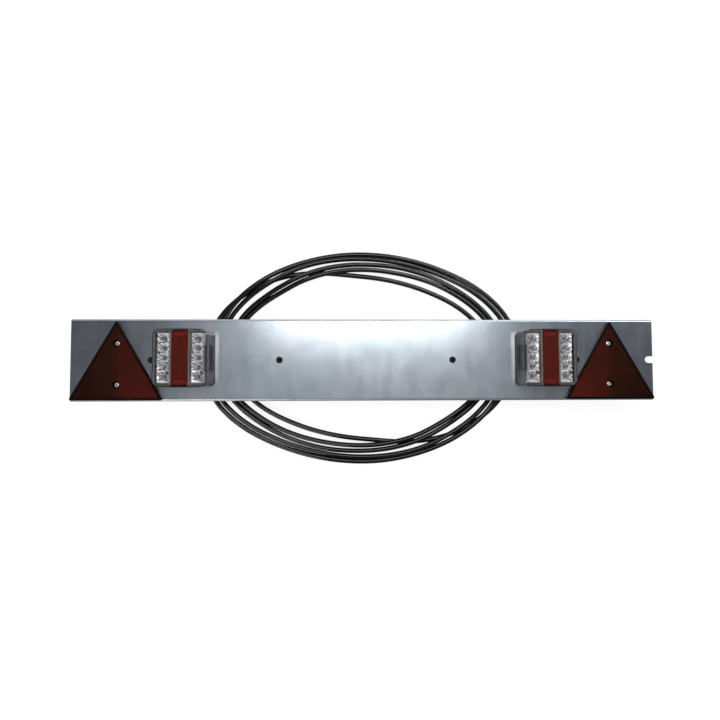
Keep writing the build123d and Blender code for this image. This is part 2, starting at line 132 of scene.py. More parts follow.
GROMMET_PROFILE = (
    (4.45, 1.2), (4.75, 1.5), (9.0, 1.5), (9.5, 1.0), (9.5, 0.0), (6.95, 0.0), (6.95, -1.5), (9.4, -1.5),
    (9.3, -2.2), (8.7, -3.2), (8.15, -3.5), (8.3, -4.1), (7.7, -5.1), (7.15, -5.4), (7.25, -6.0),
    (6.6, -7.1), (6.1, -8.0), (5.7, -8.4), (5.3, -8.5), (4.6, -8.5), (4.45, -8.3),
)
LED_PROFILE = (
    (0, 0), (1.8, 0, 4), (1.8, 0.62, 4), (1.68, 0.74, 4), (1.38, 0.76), (1.26, 0.55), (0.75, 0.7), (0, 0.76),
)

# Widths over all of repeated pieces in millimetres, and a plate LED's share of a bank LED's width
RIVET_WIDTH = 9.0
WASHER_WIDTH = 15.0
GROMMET_WIDTH = 19.0
PLATE_LED_SHARE = 0.6

# The plug's pieces, turned about its axis, with heights from its rear end
PLUG_PROFILE = (
    (0, 9.0), (4.45, 9.0), (4.45, 0), (12.6, 0), (13.6, 0.5), (14.6, 2.2), (17.2, 6.4), (18.8, 9.0),
    (19.3, 10.6), (19.3, 50.4), (20.5, 51.2), (21.0, 52.2), (21.0, 55.4), (20.2, 56.1), (20.2, 57.4),
    (21.0, 58.1), (21.0, 76.8), (20.6, 77.6), (19.9, 78.0), (18.5, 78.0), (18.0, 77.5), (18.0, 52.0),
    (0, 52.0),
)
INSERT_PROFILE = ((0, 52.0), (17.7, 52.0), (17.7, 59.3), (17.0, 60.0), (0, 60.0))
COLLAR_PROFILE = ((2.6, 59.9), (3.7, 59.9), (3.7, 61.0), (3.4, 61.4), (2.6, 61.4))
PIN_PROFILE = ((0, 60.0), (2.5, 60.0), (2.5, 74.4), (2.3, 75.3), (1.6, 75.9), (0, 76.0))
GLAND_PROFILE = (
    (4.45, -11.0), (6.2, -11.0), (7.2, -10.5), (8.4, -8.8), (8.7, -8.2), (9.6, -8.0), (10.0, -7.5, 6),
    (10.0, -0.5, 6), (9.6, 0), (4.45, 0),
)
PIN_COUNT = 6
PIN_CIRCLE = 10.5
RIB_COUNT = 16
RIB_SIZE = (1.9, 3.0, 36.0)
RIB_RADIUS = 19.9
RIB_HEIGHT = 31.0
RIB_BEVEL = 0.55
PLUG_PIECES = ("ribbed_plug_body", "pin_insert", "brass_pins", "gland_nut")

# A reflector cup's tiers as (radius, depth, unevenness) in millimetres
CUP_TIERS = (
    (7.2, 1.0, 0.5), (6.2, 2.3, 0.7), (5.0, 4.4, 0.9), (4.1, 7.6, 0.8), (3.5, 11.0, 0.5), (3.2, 14.4, 0.0),
)
CUP_WAVES = (2.4, 1.7)
CUP_FACETS = 16
CUP_COUNT = 5
# The painted sparkle: the facet attribute's name and the waves that set each facet's tone
PAINTED_SPARKLE = "painted_facet_sparkle"
SPARKLE_WAVES = (37.0, 53.0, 2.1)
TOUCHING = 0.01 * MM

# Plain finishes: name, colour, roughness, scales of grain and mottling, and what differs from the usual
PLAIN_FINISHES = {
    "rivet_aluminium": (
        "bright aluminium", (0.9, 0.9, 0.9), 0.42, (1500.0, 200.0), {"metallic": 1.0, "variety": 0.05}),
    "dark_steel": ("dull mandrel steel", (0.03, 0.03, 0.03), 0.6, (1500.0, 200.0), {"metallic": 1.0}),
    "plated_steel": (
        "zinc plated steel", (0.62, 0.63, 0.62), 0.3, (900.0, 160.0), {"metallic": 1.0, "variety": 0.12}),
    "plug_plastic": ("plug plastic", (0.018, 0.018, 0.019), 0.45, (1200.0, 60.0), {}),
    "brass_pins": (
        "brass pins", (0.72, 0.52, 0.24), 0.25, (900.0, 150.0), {"metallic": 1.0, "variety": 0.12}),
    "black_rubber": ("black rubber", (0.016, 0.016, 0.016), 0.65, (700.0, 80.0), {}),
    "lamp_shroud": ("shroud plastic", (0.05, 0.05, 0.055), 0.45, (1100.0, 45.0), {}),
    "foam_rubber": ("foam rubber", (0.03, 0.03, 0.03), 0.85, (420.0, 90.0), {}),
    "circuit_board": ("solder mask", (0.32, 0.31, 0.33), 0.4, (600.0, 130.0), {}),
    "led_package": ("LED package", (0.20, 0.19, 0.17), 0.3, (1500.0, 500.0), {}),
}
ROUGHNESS_SWING = 0.2

# The zinc-coated sheet: noise scales, the limits of its masks, and their shares in tone and roughness
SHEET_GRAIN = (170.0, 26.0)
SHEET_CLOUDS = {"scale": 8.0, "detail": 5.0}
SHEET_LINES = (4.0, 320.0, 320.0)
SHEET_SMEARS = (60.0, 9.0, 9.0)
SMEAR_DETAIL = 6.0
BLOTCH_LIMITS = (0.36, 0.64)
SPECK_LIMITS = (0.34, 0.66)
TONE_SHARES = (0.15, 0.35, 0.3, 0.2)
TONE_RANGE = (0.90, 1.10)
SHEET_ROUGHNESS = 0.20
ROUGHNESS_SHARES = (0.02, 0.07, 0.02)
LINE_DEPTH = 0.002 * MM
BEND_LIMITS = (3.2 * MM, 2.2 * MM)
BEND_ROUGHNESS = 0.5

# The painted glow on the sheet beside the lamps' inner walls, a pale colour and rougher finish standing in
# for light that falls through them: how it fades along the board and up it
PAINTED_GLOW_COLOUR = (0.92, 0.92, 0.98)
GLOW_ROUGHNESS = 0.65
GLOW_REACH = (7 * MM, 2 * MM)
GLOW_BEHIND = (-30 * MM, -20 * MM)
GLOW_ENDS = (1 * MM, 14 * MM)
GLOW_RISE = (-90 * MM, 30 * MM)
FRONT_LEVEL = -0.5 * MM

# The warning triangles, with painted retroreflection: a wavering line parts an outer half painted dark from
# an inner half painted lit, brightest at its foot; painted shade deepens the outer half towards its lower
# outer corner
TRIANGLE_GRAIN = (900.0, 40.0)
TRIANGLE_PRISM = 2.4 * MM
PRISM_DEPTH = 0.4 * MM
PRISM_STRENGTH = 0.25
WAVER = 24 * MM
PARTING = (9 * MM, -7 * MM)
FOOT_FALL = (10 * MM, -62 * MM)
FOOT_REACH = (0.0, -58 * MM)
FOOT_SHARE = 0.7
FLECK_SHARES = (0.1, 0.06)
GLOOM_FALL = (25 * MM, -62 * MM)
GLOOM_REACH = (-4 * MM, 45 * MM)
GLOOM_SHARE = 0.55

# The lamps' reflex strips, with places measured from the strip's end and middle; a painted glint near each
# end and a painted lightening towards the ends
STRIP_GRAIN = (900.0, 130.0)
STRIP_PRISM = 2.0 * MM
STRIP_FLUTE = 2.3 * MM
FLUTE_DEPTH = 0.35 * MM
FLUTE_STRENGTH = 0.3
STRIP_SHARES = (0.35, 0.1, 0.12)
GLINT_START = (2.6 * MM, 4.2 * MM)
GLINT_END = (9.0 * MM, 7.0 * MM)
GLINT_TAPER = 0.5
GLINT_SIDES = (12.5 * MM, 10.5 * MM)
STRIP_EDGE = 9 * MM
STRIP_EDGE_SHARE = 0.35

# The clear lens, with places measured from its middle, its front or the sheet's face
LENS_GRAIN = (260.0, 40.0)
LENS_WAVE_DEPTH = 0.05 * MM
LENS_WAVE_STRENGTH = 0.3
LENS_RIBS = (13.9 * MM, 15.6 * MM)
RIB_TOPS = (29.6 * MM, 31.6 * MM)
RIB_WALLS = (20.0 * MM, 29.6 * MM)
FROST_CORNER = 4 * MM
FROST_LIMITS = (3.2 * MM, 5.2 * MM)
FROST_DEPTH = 1.2 * MM
FROST_SPECKS = (0.4, 0.6)
FROST_FROM_STRIP = 15 * MM
LENS_EDGE = (1.6 * MM, 0.12 * MM)
LENS_FRONT = (30.8 * MM, 31.4 * MM)
WINDOW_FOOT = 11 * MM
WINDOW_PLACE = -40 * MM
WALL_BLEND = 0.1
WALL_FACING = (0.02, 0.16)
WALL_ALPHA = (0.012, 0.85)
FRONT_SHARE = 0.25
LENS_ALPHA = {"frost": 0.5, "edge": 0.7, "rib wall": 0.06, "rib top highlight": 0.75, "window": 0.3}
# The lens's colours: the walls' grey is a painted reflection, the edge a painted shade and the rib tops a
# painted highlight.
LENS_COLOURS = {
    "dark wall": (0.11, 0.11, 0.13), "pale wall": (0.15, 0.15, 0.17),
    "dark frost": (0.10, 0.10, 0.10), "pale frost": (0.20, 0.197, 0.19),
    "edge": (0.012, 0.012, 0.02), "rib top highlight": (0.62, 0.58, 0.52), "window": (0.07, 0.08, 0.09),
}

# The metallised cups: darkest and brightest facet of the painted sparkle, and the painted glow that the
# brightest one gives off
CUP_GRAIN = (1200.0, 120.0)
CUP_ROUGHNESS = (0.05, 0.18)
CUP_SPARKLE_COLOURS = ((0.10, 0.10, 0.11), (1.0, 1.0, 1.0))
CUP_PAINTED_GLOW = ((0.0, 0.0, 0.0), (0.11, 0.11, 0.125))

# The stage: soft lights with their place, aim, width and depth in metres and power in watts
KEY_BEARING = radians(51.0)
KEY_X, KEY_Y, KEY_Z = 1.6 * cos(KEY_BEARING), 1.6 * sin(KEY_BEARING), 1.05
CENTRE = (0.0, 0.0, 0.0)
LIGHTS = (
    ("overhead softbox", (0.06, 0.355, 1.05), (0.06, 0.355, 0.0), (0.76, 0.36), 4.4),
    ("broad softbox", (0.0, -0.1, 1.2), (0.0, -0.1, 0.0), (1.5, 0.9), 1.25),
    ("upper edge light", (-0.5, 2.2, 0.4), (-0.2, 0.0, 0.0), (2.6, 0.6), 14.0),
    ("right key strip", (KEY_X, KEY_Y, KEY_Z), CENTRE, (1.6, 0.25), 16.0),
    ("left key strip", (-KEY_X, -KEY_Y, KEY_Z), CENTRE, (1.6, 0.25), 16.0),
    ("left side light", (-2.3, 0.0, 0.6), CENTRE, (0.8, 0.6), 4.0),
    ("right side light", (2.3, 0.0, 0.6), CENTRE, (0.8, 0.6), 4.0),
    ("under softbox", (0.0, 0.0, -1.2), CENTRE, (1.6, 1.0), 9.0),
)
FLOOR_HALF = 6.0
FLOOR_PALE = (0.20, 0.20, 0.20)
FLOOR_LIGHT = (1.0, 1.0, 1.0)
FLOOR_DARK = (0.01, 0.01, 0.01)
FLOOR_GLOW_UNSEEN = 0.1
FLOOR_GLOSS_SHARE = 0.4
SHADOW_ENDS = (0.46, 0.40)
SHADOW_SIDES = (0.066, 0.014)
SKY_DIM = (0.107, 0.103, 0.115)
SKY_WALLS = (0.25, 0.25, 0.26)
SKY_PALE = (0.9, 0.9, 0.9)
WALLS_END = (0.6, 0.25)
SENSOR_WIDTH = 36.0
CLIP_START = 0.01


class BoardSizes(bpy.types.PropertyGroup):
    """Sizes of what is drawn finer than the solids."""

    cable_diameter: FloatProperty(
        name="Cable Diameter", description="Outside diameter of the seven-core cable",
        default=0.0085, unit="LENGTH")
    coil_turns: IntProperty(
        name="Coil Turns", description="Turns of the cable behind the board", default=5, min=2)
    points_per_turn: IntProperty(
        name="Points per Turn", description="Control points in one turn of the cable", default=36, min=12)
    inner_lane: FloatVectorProperty(
        name="Inner Lane", description="Half width and half height of the coil's inner lane", size=2,
        unit="LENGTH", default=(0.23225, 0.14375))
    outer_lane: FloatVectorProperty(
        name="Outer Lane", description="Half width and half height of the coil's outer lane", size=2,
        unit="LENGTH", default=(0.28275, 0.18375))
    coil_rise: FloatProperty(
        name="Coil Rise", description="How far the coil's middle lies above the board's", default=0.007,
        unit="LENGTH")
    bank_end_land: FloatProperty(
        name="Bank End Land", description="Flat land at each end of a reflector bank", default=0.00175,
        unit="LENGTH")
    plate_led: FloatProperty(
        name="Plate LED", description="Width of the LEDs that light the number plate", default=0.0022,
        unit="LENGTH")
    plate_led_pitch: FloatProperty(
        name="Plate LED Pitch", description="How far the two plate LEDs are apart", default=0.022,
        unit="LENGTH")
    lower_lean: FloatProperty(
        name="Lower Lean", description="How far the coil's lower half is shifted along the board",
        default=-0.014, unit="LENGTH")


class BoardColours(bpy.types.PropertyGroup):
    """Colours of the finishes."""

    sheet: FloatVectorProperty(
        name="Zinc Sheet", description="Tint of the zinc-coated sheet", subtype="COLOR",
        default=(0.505, 0.585, 0.63))
    sheet_cloud: FloatVectorProperty(
        name="Sheet Cloud", description="Tint of the sheet's clouded patches", subtype="COLOR",
        default=(0.535, 0.578, 0.63))
    # Painted lit red: the reflectors' retroreflection, painted into the inner halves' colour.
    reflex_lit_red: FloatVectorProperty(
        name="Reflex Red", description="Red of the reflectors where their prisms face the light",
        subtype="COLOR", default=(0.074, 0.0095, 0.0065))
    # Painted shaded red: the outer halves, painted as if their prisms turned from the light.
    reflex_shaded_red: FloatVectorProperty(
        name="Reflex Dark", description="Red of the reflectors where their prisms turn away",
        subtype="COLOR", default=(0.020, 0.007, 0.0032))
    # The strips blend these two reds by grain, prism tone, flutes and a painted lightening towards their
    # ends.
    strip_red: FloatVectorProperty(
        name="Strip Red", description="Lighter red of the lamps' reflex strips", subtype="COLOR",
        default=(0.114, 0.0136, 0.0075))
    strip_dark: FloatVectorProperty(
        name="Strip Dark", description="Darker red of the lamps' reflex strips", subtype="COLOR",
        default=(0.077, 0.0105, 0.0054))
    # Painted glint near each end of a strip.
    strip_glint_red: FloatVectorProperty(
        name="Strip Bright", description="Red of the bright cut at each end of a strip", subtype="COLOR",
        default=(0.17, 0.0187, 0.0145))
    black_plastic: FloatVectorProperty(
        name="Black Plastic", description="Triangles' trays and lamps' housings", subtype="COLOR",
        default=(0.003, 0.0028, 0.0028))
    cable_black: FloatVectorProperty(
        name="Cable Black", description="Sheath of the cable", subtype="COLOR",
        default=(0.0025, 0.0025, 0.0030))


class BoardStage(bpy.types.PropertyGroup):
    """Camera and floor."""

    camera_place: FloatVectorProperty(
        name="Camera Place", description="Where the camera stands above the board", subtype="TRANSLATION",
        unit="LENGTH", default=(-0.0358, -0.0365, 0.85))
    camera_turn: FloatVectorProperty(
        name="Camera Turn", description="The camera's rotation from looking straight down", subtype="EULER",
        default=(radians(2.45), radians(-1.667), radians(-0.13)))
    camera_lens: FloatProperty(
        name="Lens", description="Focal length on a 36 mm sensor", default=24.79, unit="CAMERA")
    floor_glow: FloatProperty(
        name="Floor Glow", description="Light that the pale floor gives off as a light table does",
        default=0.87, subtype="FACTOR", min=0.0, max=1.0)


class BoardSettings(bpy.types.PropertyGroup):
    """All settings of the lighting board."""

    sizes: PointerProperty(name="Sizes", description="Sizes of the finer pieces", type=BoardSizes)
    colours: PointerProperty(name="Colours", description="Colours of the finishes", type=BoardColours)
    stage: PointerProperty(name="Stage", description="Camera and floor", type=BoardStage)


def settings():
    return bpy.context.scene.lighting_board


def place(tree, kind, inputs=None, **options):
    """Add a node: a socket given as an input is linked, anything else is set as its value."""
    node = tree.nodes.new(kind)
    for name, value in options.items():
        setattr(node, name, value)
    for name, value in (inputs or {}).items():
        if isinstance(value, bpy.types.NodeSocket):
            tree.links.new(value, node.inputs[name])
        else:
            node.inputs[name].default_value = value
    return node


def maths(tree, operation, *values):
    return place(tree, "ShaderNodeMath", dict(enumerate(values)), operation=operation).outputs[0]


def blend_colours(tree, factor, first, second):
    node = place(tree, "ShaderNodeMix", {0: factor, 6: first, 7: second}, data_type="RGBA")
    return node.outputs[2]


def blend_values(tree, factor, first, second):
    return place(tree, "ShaderNodeMix", {0: factor, 2: first, 3: second}, data_type="FLOAT").outputs[0]


def spread(tree, value, low, high):
    """Stretch a mask from 0 to 1 over the range from low to high."""
    node = place(tree, "ShaderNodeMapRange", {"Value": value, "To Min": low, "To Max": high})
    return node.outputs["Result"]


def noise(tree, vector, scale, detail=3.0):
    return place(tree, "ShaderNodeTexNoise", {"Vector": vector, "Scale": scale, "Detail": detail}).outputs[0]


def stretched(tree, vector, scale):
    return place(tree, "ShaderNodeMapping", {"Vector": vector, "Scale": scale}).outputs[0]


def opaque(colour):
    return (*colour, 1.0)


def new_group(name, inputs, outputs):
    """An empty shader node group with named inputs, each with its default, and named outputs."""
    tree = bpy.data.node_groups.new(name, "ShaderNodeTree")
    for label, kind, default in inputs:
        socket = tree.interface.new_socket(label, in_out="INPUT", socket_type=kind)
        if default is not None:
            socket.default_value = default
    for label in outputs:
        tree.interface.new_socket(label, in_out="OUTPUT", socket_type="NodeSocketFloat")
    return tree, tree.nodes.new("NodeGroupInput"), tree.nodes.new("NodeGroupOutput")


def shared_group(name, build):
    return bpy.data.node_groups.get(name) or build(name)


def build_moulded_grain(name):
    """Fine grain and broad mottling of a moulded or rolled surface."""
    inputs = (
        ("Vector", "NodeSocketVector", None),
        ("Fine Scale", "NodeSocketFloat", 900.0),
        ("Broad Scale", "NodeSocketFloat", 30.0),
    )
    tree, source, sink = new_group(name, inputs, ("Grain", "Mottle"))
    grain = noise(tree, source.outputs["Vector"], source.outputs["Fine Scale"])
    mottle = noise(tree, source.outputs["Vector"], source.outputs["Broad Scale"])
    tree.links.new(grain, sink.inputs["Grain"])
    tree.links.new(mottle, sink.inputs["Mottle"])
    return tree


def build_prism_cells(name):
    """Three sets of grooves at sixty degrees, which leave the corner prisms of a reflex reflector."""
    inputs = (("Vector", "NodeSocketVector", None), ("Pitch", "NodeSocketFloat", 2.4 * MM))
    tree, source, sink = new_group(name, inputs, ("Height", "Tone"))
    grooves = []
    cells = []
    for turn in range(3):
        direction = (cos(turn * pi / 3), sin(turn * pi / 3), 0.0)
        along = place(tree, "ShaderNodeVectorMath", {0: source.outputs["Vector"], 1: direction},
                      operation="DOT_PRODUCT").outputs["Value"]
        step = maths(tree, "DIVIDE", along, source.outputs["Pitch"])
        grooves.append(maths(tree, "PINGPONG", step, 0.5))
        cells.append(maths(tree, "FLOOR", step))
    lower = maths(tree, "MINIMUM", grooves[0], grooves[1])
    height = maths(tree, "MINIMUM", lower, grooves[2])
    total = maths(tree, "ADD", maths(tree, "ADD", cells[0], cells[1]), cells[2])
    tone = maths(tree, "PINGPONG", total, 1.0)
    tree.links.new(height, sink.inputs["Height"])
    tree.links.new(tone, sink.inputs["Tone"])
    return tree


def grain_masks(tree, vector, fine, broad):
    """Grain and mottle masks of the shared group at these scales."""
    node = tree.nodes.new("ShaderNodeGroup")
    node.node_tree = shared_group("Moulded Grain", build_moulded_grain)
    tree.links.new(vector, node.inputs["Vector"])
    node.inputs["Fine Scale"].default_value = fine
    node.inputs["Broad Scale"].default_value = broad
    return node.outputs["Grain"], node.outputs["Mottle"]


def prism_masks(tree, vector, pitch):
    """Height and tone of the shared prism group at this pitch."""
    node = tree.nodes.new("ShaderNodeGroup")
    node.node_tree = shared_group("Prism Cells", build_prism_cells)
    tree.links.new(vector, node.inputs["Vector"])
    node.inputs["Pitch"].default_value = pitch
    return node.outputs["Height"], node.outputs["Tone"]


def new_material(name, **constants):
    """A material with a Principled shader; constants are socket names in lower case with underscores."""
    material = bpy.data.materials.new(name)
    material.use_nodes = True
    tree = material.node_tree
    shader = tree.nodes["Principled BSDF"]
    for label, value in constants.items():
        shader.inputs[label.replace("_", " ").title().replace("Ior", "IOR")].default_value = value
    vector = tree.nodes.new("ShaderNodeTexCoord").outputs["Object"]
    return material, tree, shader, vector


def feed(tree, shader, label, value):
    tree.links.new(value, shader.inputs[label])


def bump(tree, shader, height, distance, strength=1.0):
    node = place(tree, "ShaderNodeBump", {"Height": height, "Distance": distance, "Strength": strength})
    feed(tree, shader, "Normal", node.outputs["Normal"])


def product(tree, *masks):
    """Two or more masks multiplied."""
    result = masks[0]
    for mask in masks[1:]:
        result = maths(tree, "MULTIPLY", result, mask)
    return result


def weighted(tree, base, masks, shares):
    """A base value with a share of each mask added to it."""
    result = base
    for mask, share in zip(masks, shares):
        result = maths(tree, "MULTIPLY_ADD", mask, share, result)
    return result


def ramp(tree, value, low, high, bottom=0.0, top=1.0):
    """A mask that goes from bottom to top between two values, the first of which may be the higher."""
    node = place(tree, "ShaderNodeMapRange", {
        "Value": value, "From Min": low, "From Max": high, "To Min": bottom, "To Max": top})
    return node.outputs["Result"]


def band(tree, value, low, high):
    """A mask of the values between two limits."""
    return product(tree, maths(tree, "GREATER_THAN", value, low), maths(tree, "LESS_THAN", value, high))


def apart(tree, value, middle):
    """How far a value is from a middle, either way."""
    return maths(tree, "ABSOLUTE", maths(tree, "SUBTRACT", value, middle))


def board_axes(tree, vector):
    """X, Y and Z of a point on the board."""
    return place(tree, "ShaderNodeSeparateXYZ", {"Vector": vector}).outputs


def past(tree, axis, node):
    """How far a point lies past a node's middle, or its like's at the other end, towards the board's end."""
    low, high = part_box(node)
    return maths(tree, "SUBTRACT", maths(tree, "ABSOLUTE", axis), abs(low.x + high.x) / 2)


def plain_finish(name, colour, roughness, grain, metallic=0.0, variety=0.25, relief=0.03, **constants):
    """A moulded, rubber or metal finish with fine grain and mottled colour."""
    material, tree, shader, vector = new_material(name, metallic=metallic, **constants)
    grains, mottle = grain_masks(tree, vector, *grain)
    darker = opaque([part * (1 - variety) for part in colour])
    lighter = opaque([min(1.0, part * (1 + variety)) for part in colour])
    feed(tree, shader, "Base Color", blend_colours(tree, mottle, darker, lighter))
    smoother, rougher = roughness * (1 - ROUGHNESS_SWING), min(1.0, roughness * (1 + ROUGHNESS_SWING))
    feed(tree, shader, "Roughness", spread(tree, mottle, smoother, rougher))
    bump(tree, shader, grains, relief * MM)
    return material


def painted_lamp_glow(tree, x, y, z):
    """A mask of the sheet's front beside the lamps' inner walls, where light falling through them is painted
    pale into the sheet.
    """
    low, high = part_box("right_lamp_lens")
    half = (high.y - low.y) / 2
    inwards = maths(tree, "SUBTRACT", low.x, maths(tree, "ABSOLUTE", x))
    from_middle = apart(tree, y, (low.y + high.y) / 2)
    return product(
        tree,
        ramp(tree, inwards, *GLOW_REACH),
        ramp(tree, inwards, *GLOW_BEHIND),
        ramp(tree, from_middle, *(half - end for end in GLOW_ENDS)),
        ramp(tree, y, *GLOW_RISE),
        maths(tree, "GREATER_THAN", z, FRONT_LEVEL),
    )


def zinc_sheet_finish(name, colours):
    """Zinc-coated sheet: clouded tint, rolling lines along the board, upright wiping marks, and painted light
    beside the lamps' inner walls.
    """
    material, tree, shader, vector = new_material(name, metallic=1.0)
    specks, mottle = grain_masks(tree, vector, *SHEET_GRAIN)
    clouds = ramp(tree, noise(tree, vector, **SHEET_CLOUDS), *BLOTCH_LIMITS)
    blotches = ramp(tree, mottle, *BLOTCH_LIMITS)
    specks = ramp(tree, specks, *SPECK_LIMITS)
    lines = noise(tree, stretched(tree, vector, SHEET_LINES), 1.0)
    smears = noise(tree, stretched(tree, vector, SHEET_SMEARS), 1.0, SMEAR_DETAIL)
    smears = ramp(tree, smears, *SPECK_LIMITS)
    tone = weighted(tree, 0.0, (lines, blotches, smears, specks), TONE_SHARES)
    tint = blend_colours(tree, clouds, opaque(colours.sheet), opaque(colours.sheet_cloud))
    shaded = place(tree, "ShaderNodeVectorMath", {0: tint, "Scale": spread(tree, tone, *TONE_RANGE)},
                   operation="SCALE").outputs[0]
    x, y, z = board_axes(tree, vector)
    # Painted light: beside the lamps' inner walls the sheet is coloured pale and made rougher.
    glow = painted_lamp_glow(tree, x, y, z)
    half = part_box("board_panel")[1].y
    bends = ramp(tree, maths(tree, "ABSOLUTE", y), *(half - limit for limit in BEND_LIMITS))
    feed(tree, shader, "Base Color", blend_colours(tree, glow, shaded, opaque(PAINTED_GLOW_COLOUR)))
    rough = weighted(tree, SHEET_ROUGHNESS, (smears, mottle, lines), ROUGHNESS_SHARES)
    rough = blend_values(tree, bends, rough, BEND_ROUGHNESS)
    feed(tree, shader, "Roughness", blend_values(tree, glow, rough, GLOW_ROUGHNESS))
    bump(tree, shader, lines, LINE_DEPTH)
    return material


def triangle_finish(name, colours):
    """Red reflex plastic with painted retroreflection: the outer half painted dark as if its prisms turned
    from the light, the inner half painted lit and brightest at its foot.
    """
    material, tree, shader, vector = new_material(name, roughness=0.28, specular_ior_level=0.08)
    height, tone = prism_masks(tree, vector, TRIANGLE_PRISM)
    _, mottle = grain_masks(tree, vector, *TRIANGLE_GRAIN)
    x, y, _ = board_axes(tree, vector)
    outwards = past(tree, x, "right_reflector_lens")
    wavering = maths(tree, "MULTIPLY_ADD", mottle, WAVER, maths(tree, "SUBTRACT", outwards, WAVER / 2))
    # Painted retroreflection: the inner half is painted lit red, brightest at its foot; the outer half is
    # painted dark.
    inner_half = ramp(tree, wavering, *PARTING)
    painted_foot_light = product(tree, ramp(tree, y, *FOOT_FALL), ramp(tree, outwards, *FOOT_REACH))
    shade = product(tree, inner_half, spread(tree, painted_foot_light, 1 - FOOT_SHARE, 1.0))
    flecks = weighted(tree, 0.0, (mottle, tone), FLECK_SHARES)
    # Painted shade: the outer half darkens further towards its lower outer corner.
    painted_gloom = product(tree, ramp(tree, y, *GLOOM_FALL), ramp(tree, wavering, *GLOOM_REACH))
    deepest = opaque([part * GLOOM_SHARE for part in colours.reflex_shaded_red])
    dark = blend_colours(tree, painted_gloom, opaque(colours.reflex_shaded_red), deepest)
    feed(tree, shader, "Base Color", blend_colours(
        tree, maths(tree, "ADD", shade, flecks), dark, opaque(colours.reflex_lit_red)))
    bump(tree, shader, height, PRISM_DEPTH, PRISM_STRENGTH)
    return material


def strip_finish(name, colours):
    """Red reflex strip: fine upright flutes, and a painted glint near each end, where the red is painted
    lighter.
    """
    material, tree, shader, vector = new_material(name, roughness=0.35, specular_ior_level=0.08)
    height, tone = prism_masks(tree, vector, STRIP_PRISM)
    _, mottle = grain_masks(tree, vector, *STRIP_GRAIN)
    x, y, _ = board_axes(tree, vector)
    outwards = maths(tree, "ABSOLUTE", past(tree, x, "right_reflex_strip"))
    low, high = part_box("right_reflex_strip")
    from_end = maths(tree, "SUBTRACT", (high.y - low.y) / 2, apart(tree, y, (low.y + high.y) / 2))
    narrowing = maths(tree, "MULTIPLY_ADD", from_end, GLINT_TAPER, outwards)
    # Painted glint: a pale red patch near each end of the strip.
    painted_glint = product(tree, ramp(tree, from_end, *GLINT_START), ramp(tree, from_end, *GLINT_END),
                  ramp(tree, narrowing, *GLINT_SIDES))
    flutes = maths(tree, "PINGPONG", maths(tree, "DIVIDE", outwards, STRIP_FLUTE), 1.0)
    shade = weighted(tree, 0.0, (mottle, tone, flutes), STRIP_SHARES)
    # Painted light: the strip is painted lighter towards its ends.
    shade = maths(tree, "MULTIPLY_ADD", ramp(tree, from_end, STRIP_EDGE, 0.0), STRIP_EDGE_SHARE, shade)
    body = blend_colours(tree, shade, opaque(colours.strip_dark), opaque(colours.strip_red))
    feed(tree, shader, "Base Color", blend_colours(tree, painted_glint, body, opaque(colours.strip_glint_red)))
    bump(tree, shader, maths(tree, "ADD", height, flutes), FLUTE_DEPTH, FLUTE_STRENGTH)
    return material


def lens_frost(tree, outwards, y, z):
    """A mask of the lens's frosted front, outside both banks' rounded frame and clear of the strip."""
    low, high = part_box("right_lamp_lens")
    banks = [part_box(f"right_{bank}_reflector") for bank in BANKS]
    middle = (low + high) / 2
    inner = min(bank[0].x for bank in banks) - middle.x
    outer = max(bank[1].x for bank in banks) - middle.x
    beyond_x = maths(tree, "MAXIMUM", maths(tree, "SUBTRACT", inner, outwards),
                     maths(tree, "SUBTRACT", outwards, outer))
    beyond_y = maths(tree, "SUBTRACT", apart(tree, y, middle.y), (banks[0][1].y - banks[0][0].y) / 2)
    corner = place(tree, "ShaderNodeCombineXYZ", {
        axis: maths(tree, "MAXIMUM", maths(tree, "ADD", beyond, FROST_CORNER), 0.0)
        for axis, beyond in (("X", beyond_x), ("Y", beyond_y))}).outputs[0]
    from_corner = place(tree, "ShaderNodeVectorMath", {0: corner}, operation="LENGTH").outputs["Value"]
    return product(
        tree,
        ramp(tree, from_corner, *FROST_LIMITS),
        maths(tree, "GREATER_THAN", z, high.z - FROST_DEPTH),
        maths(tree, "GREATER_THAN", maths(tree, "ABSOLUTE", outwards), FROST_FROM_STRIP),
    )


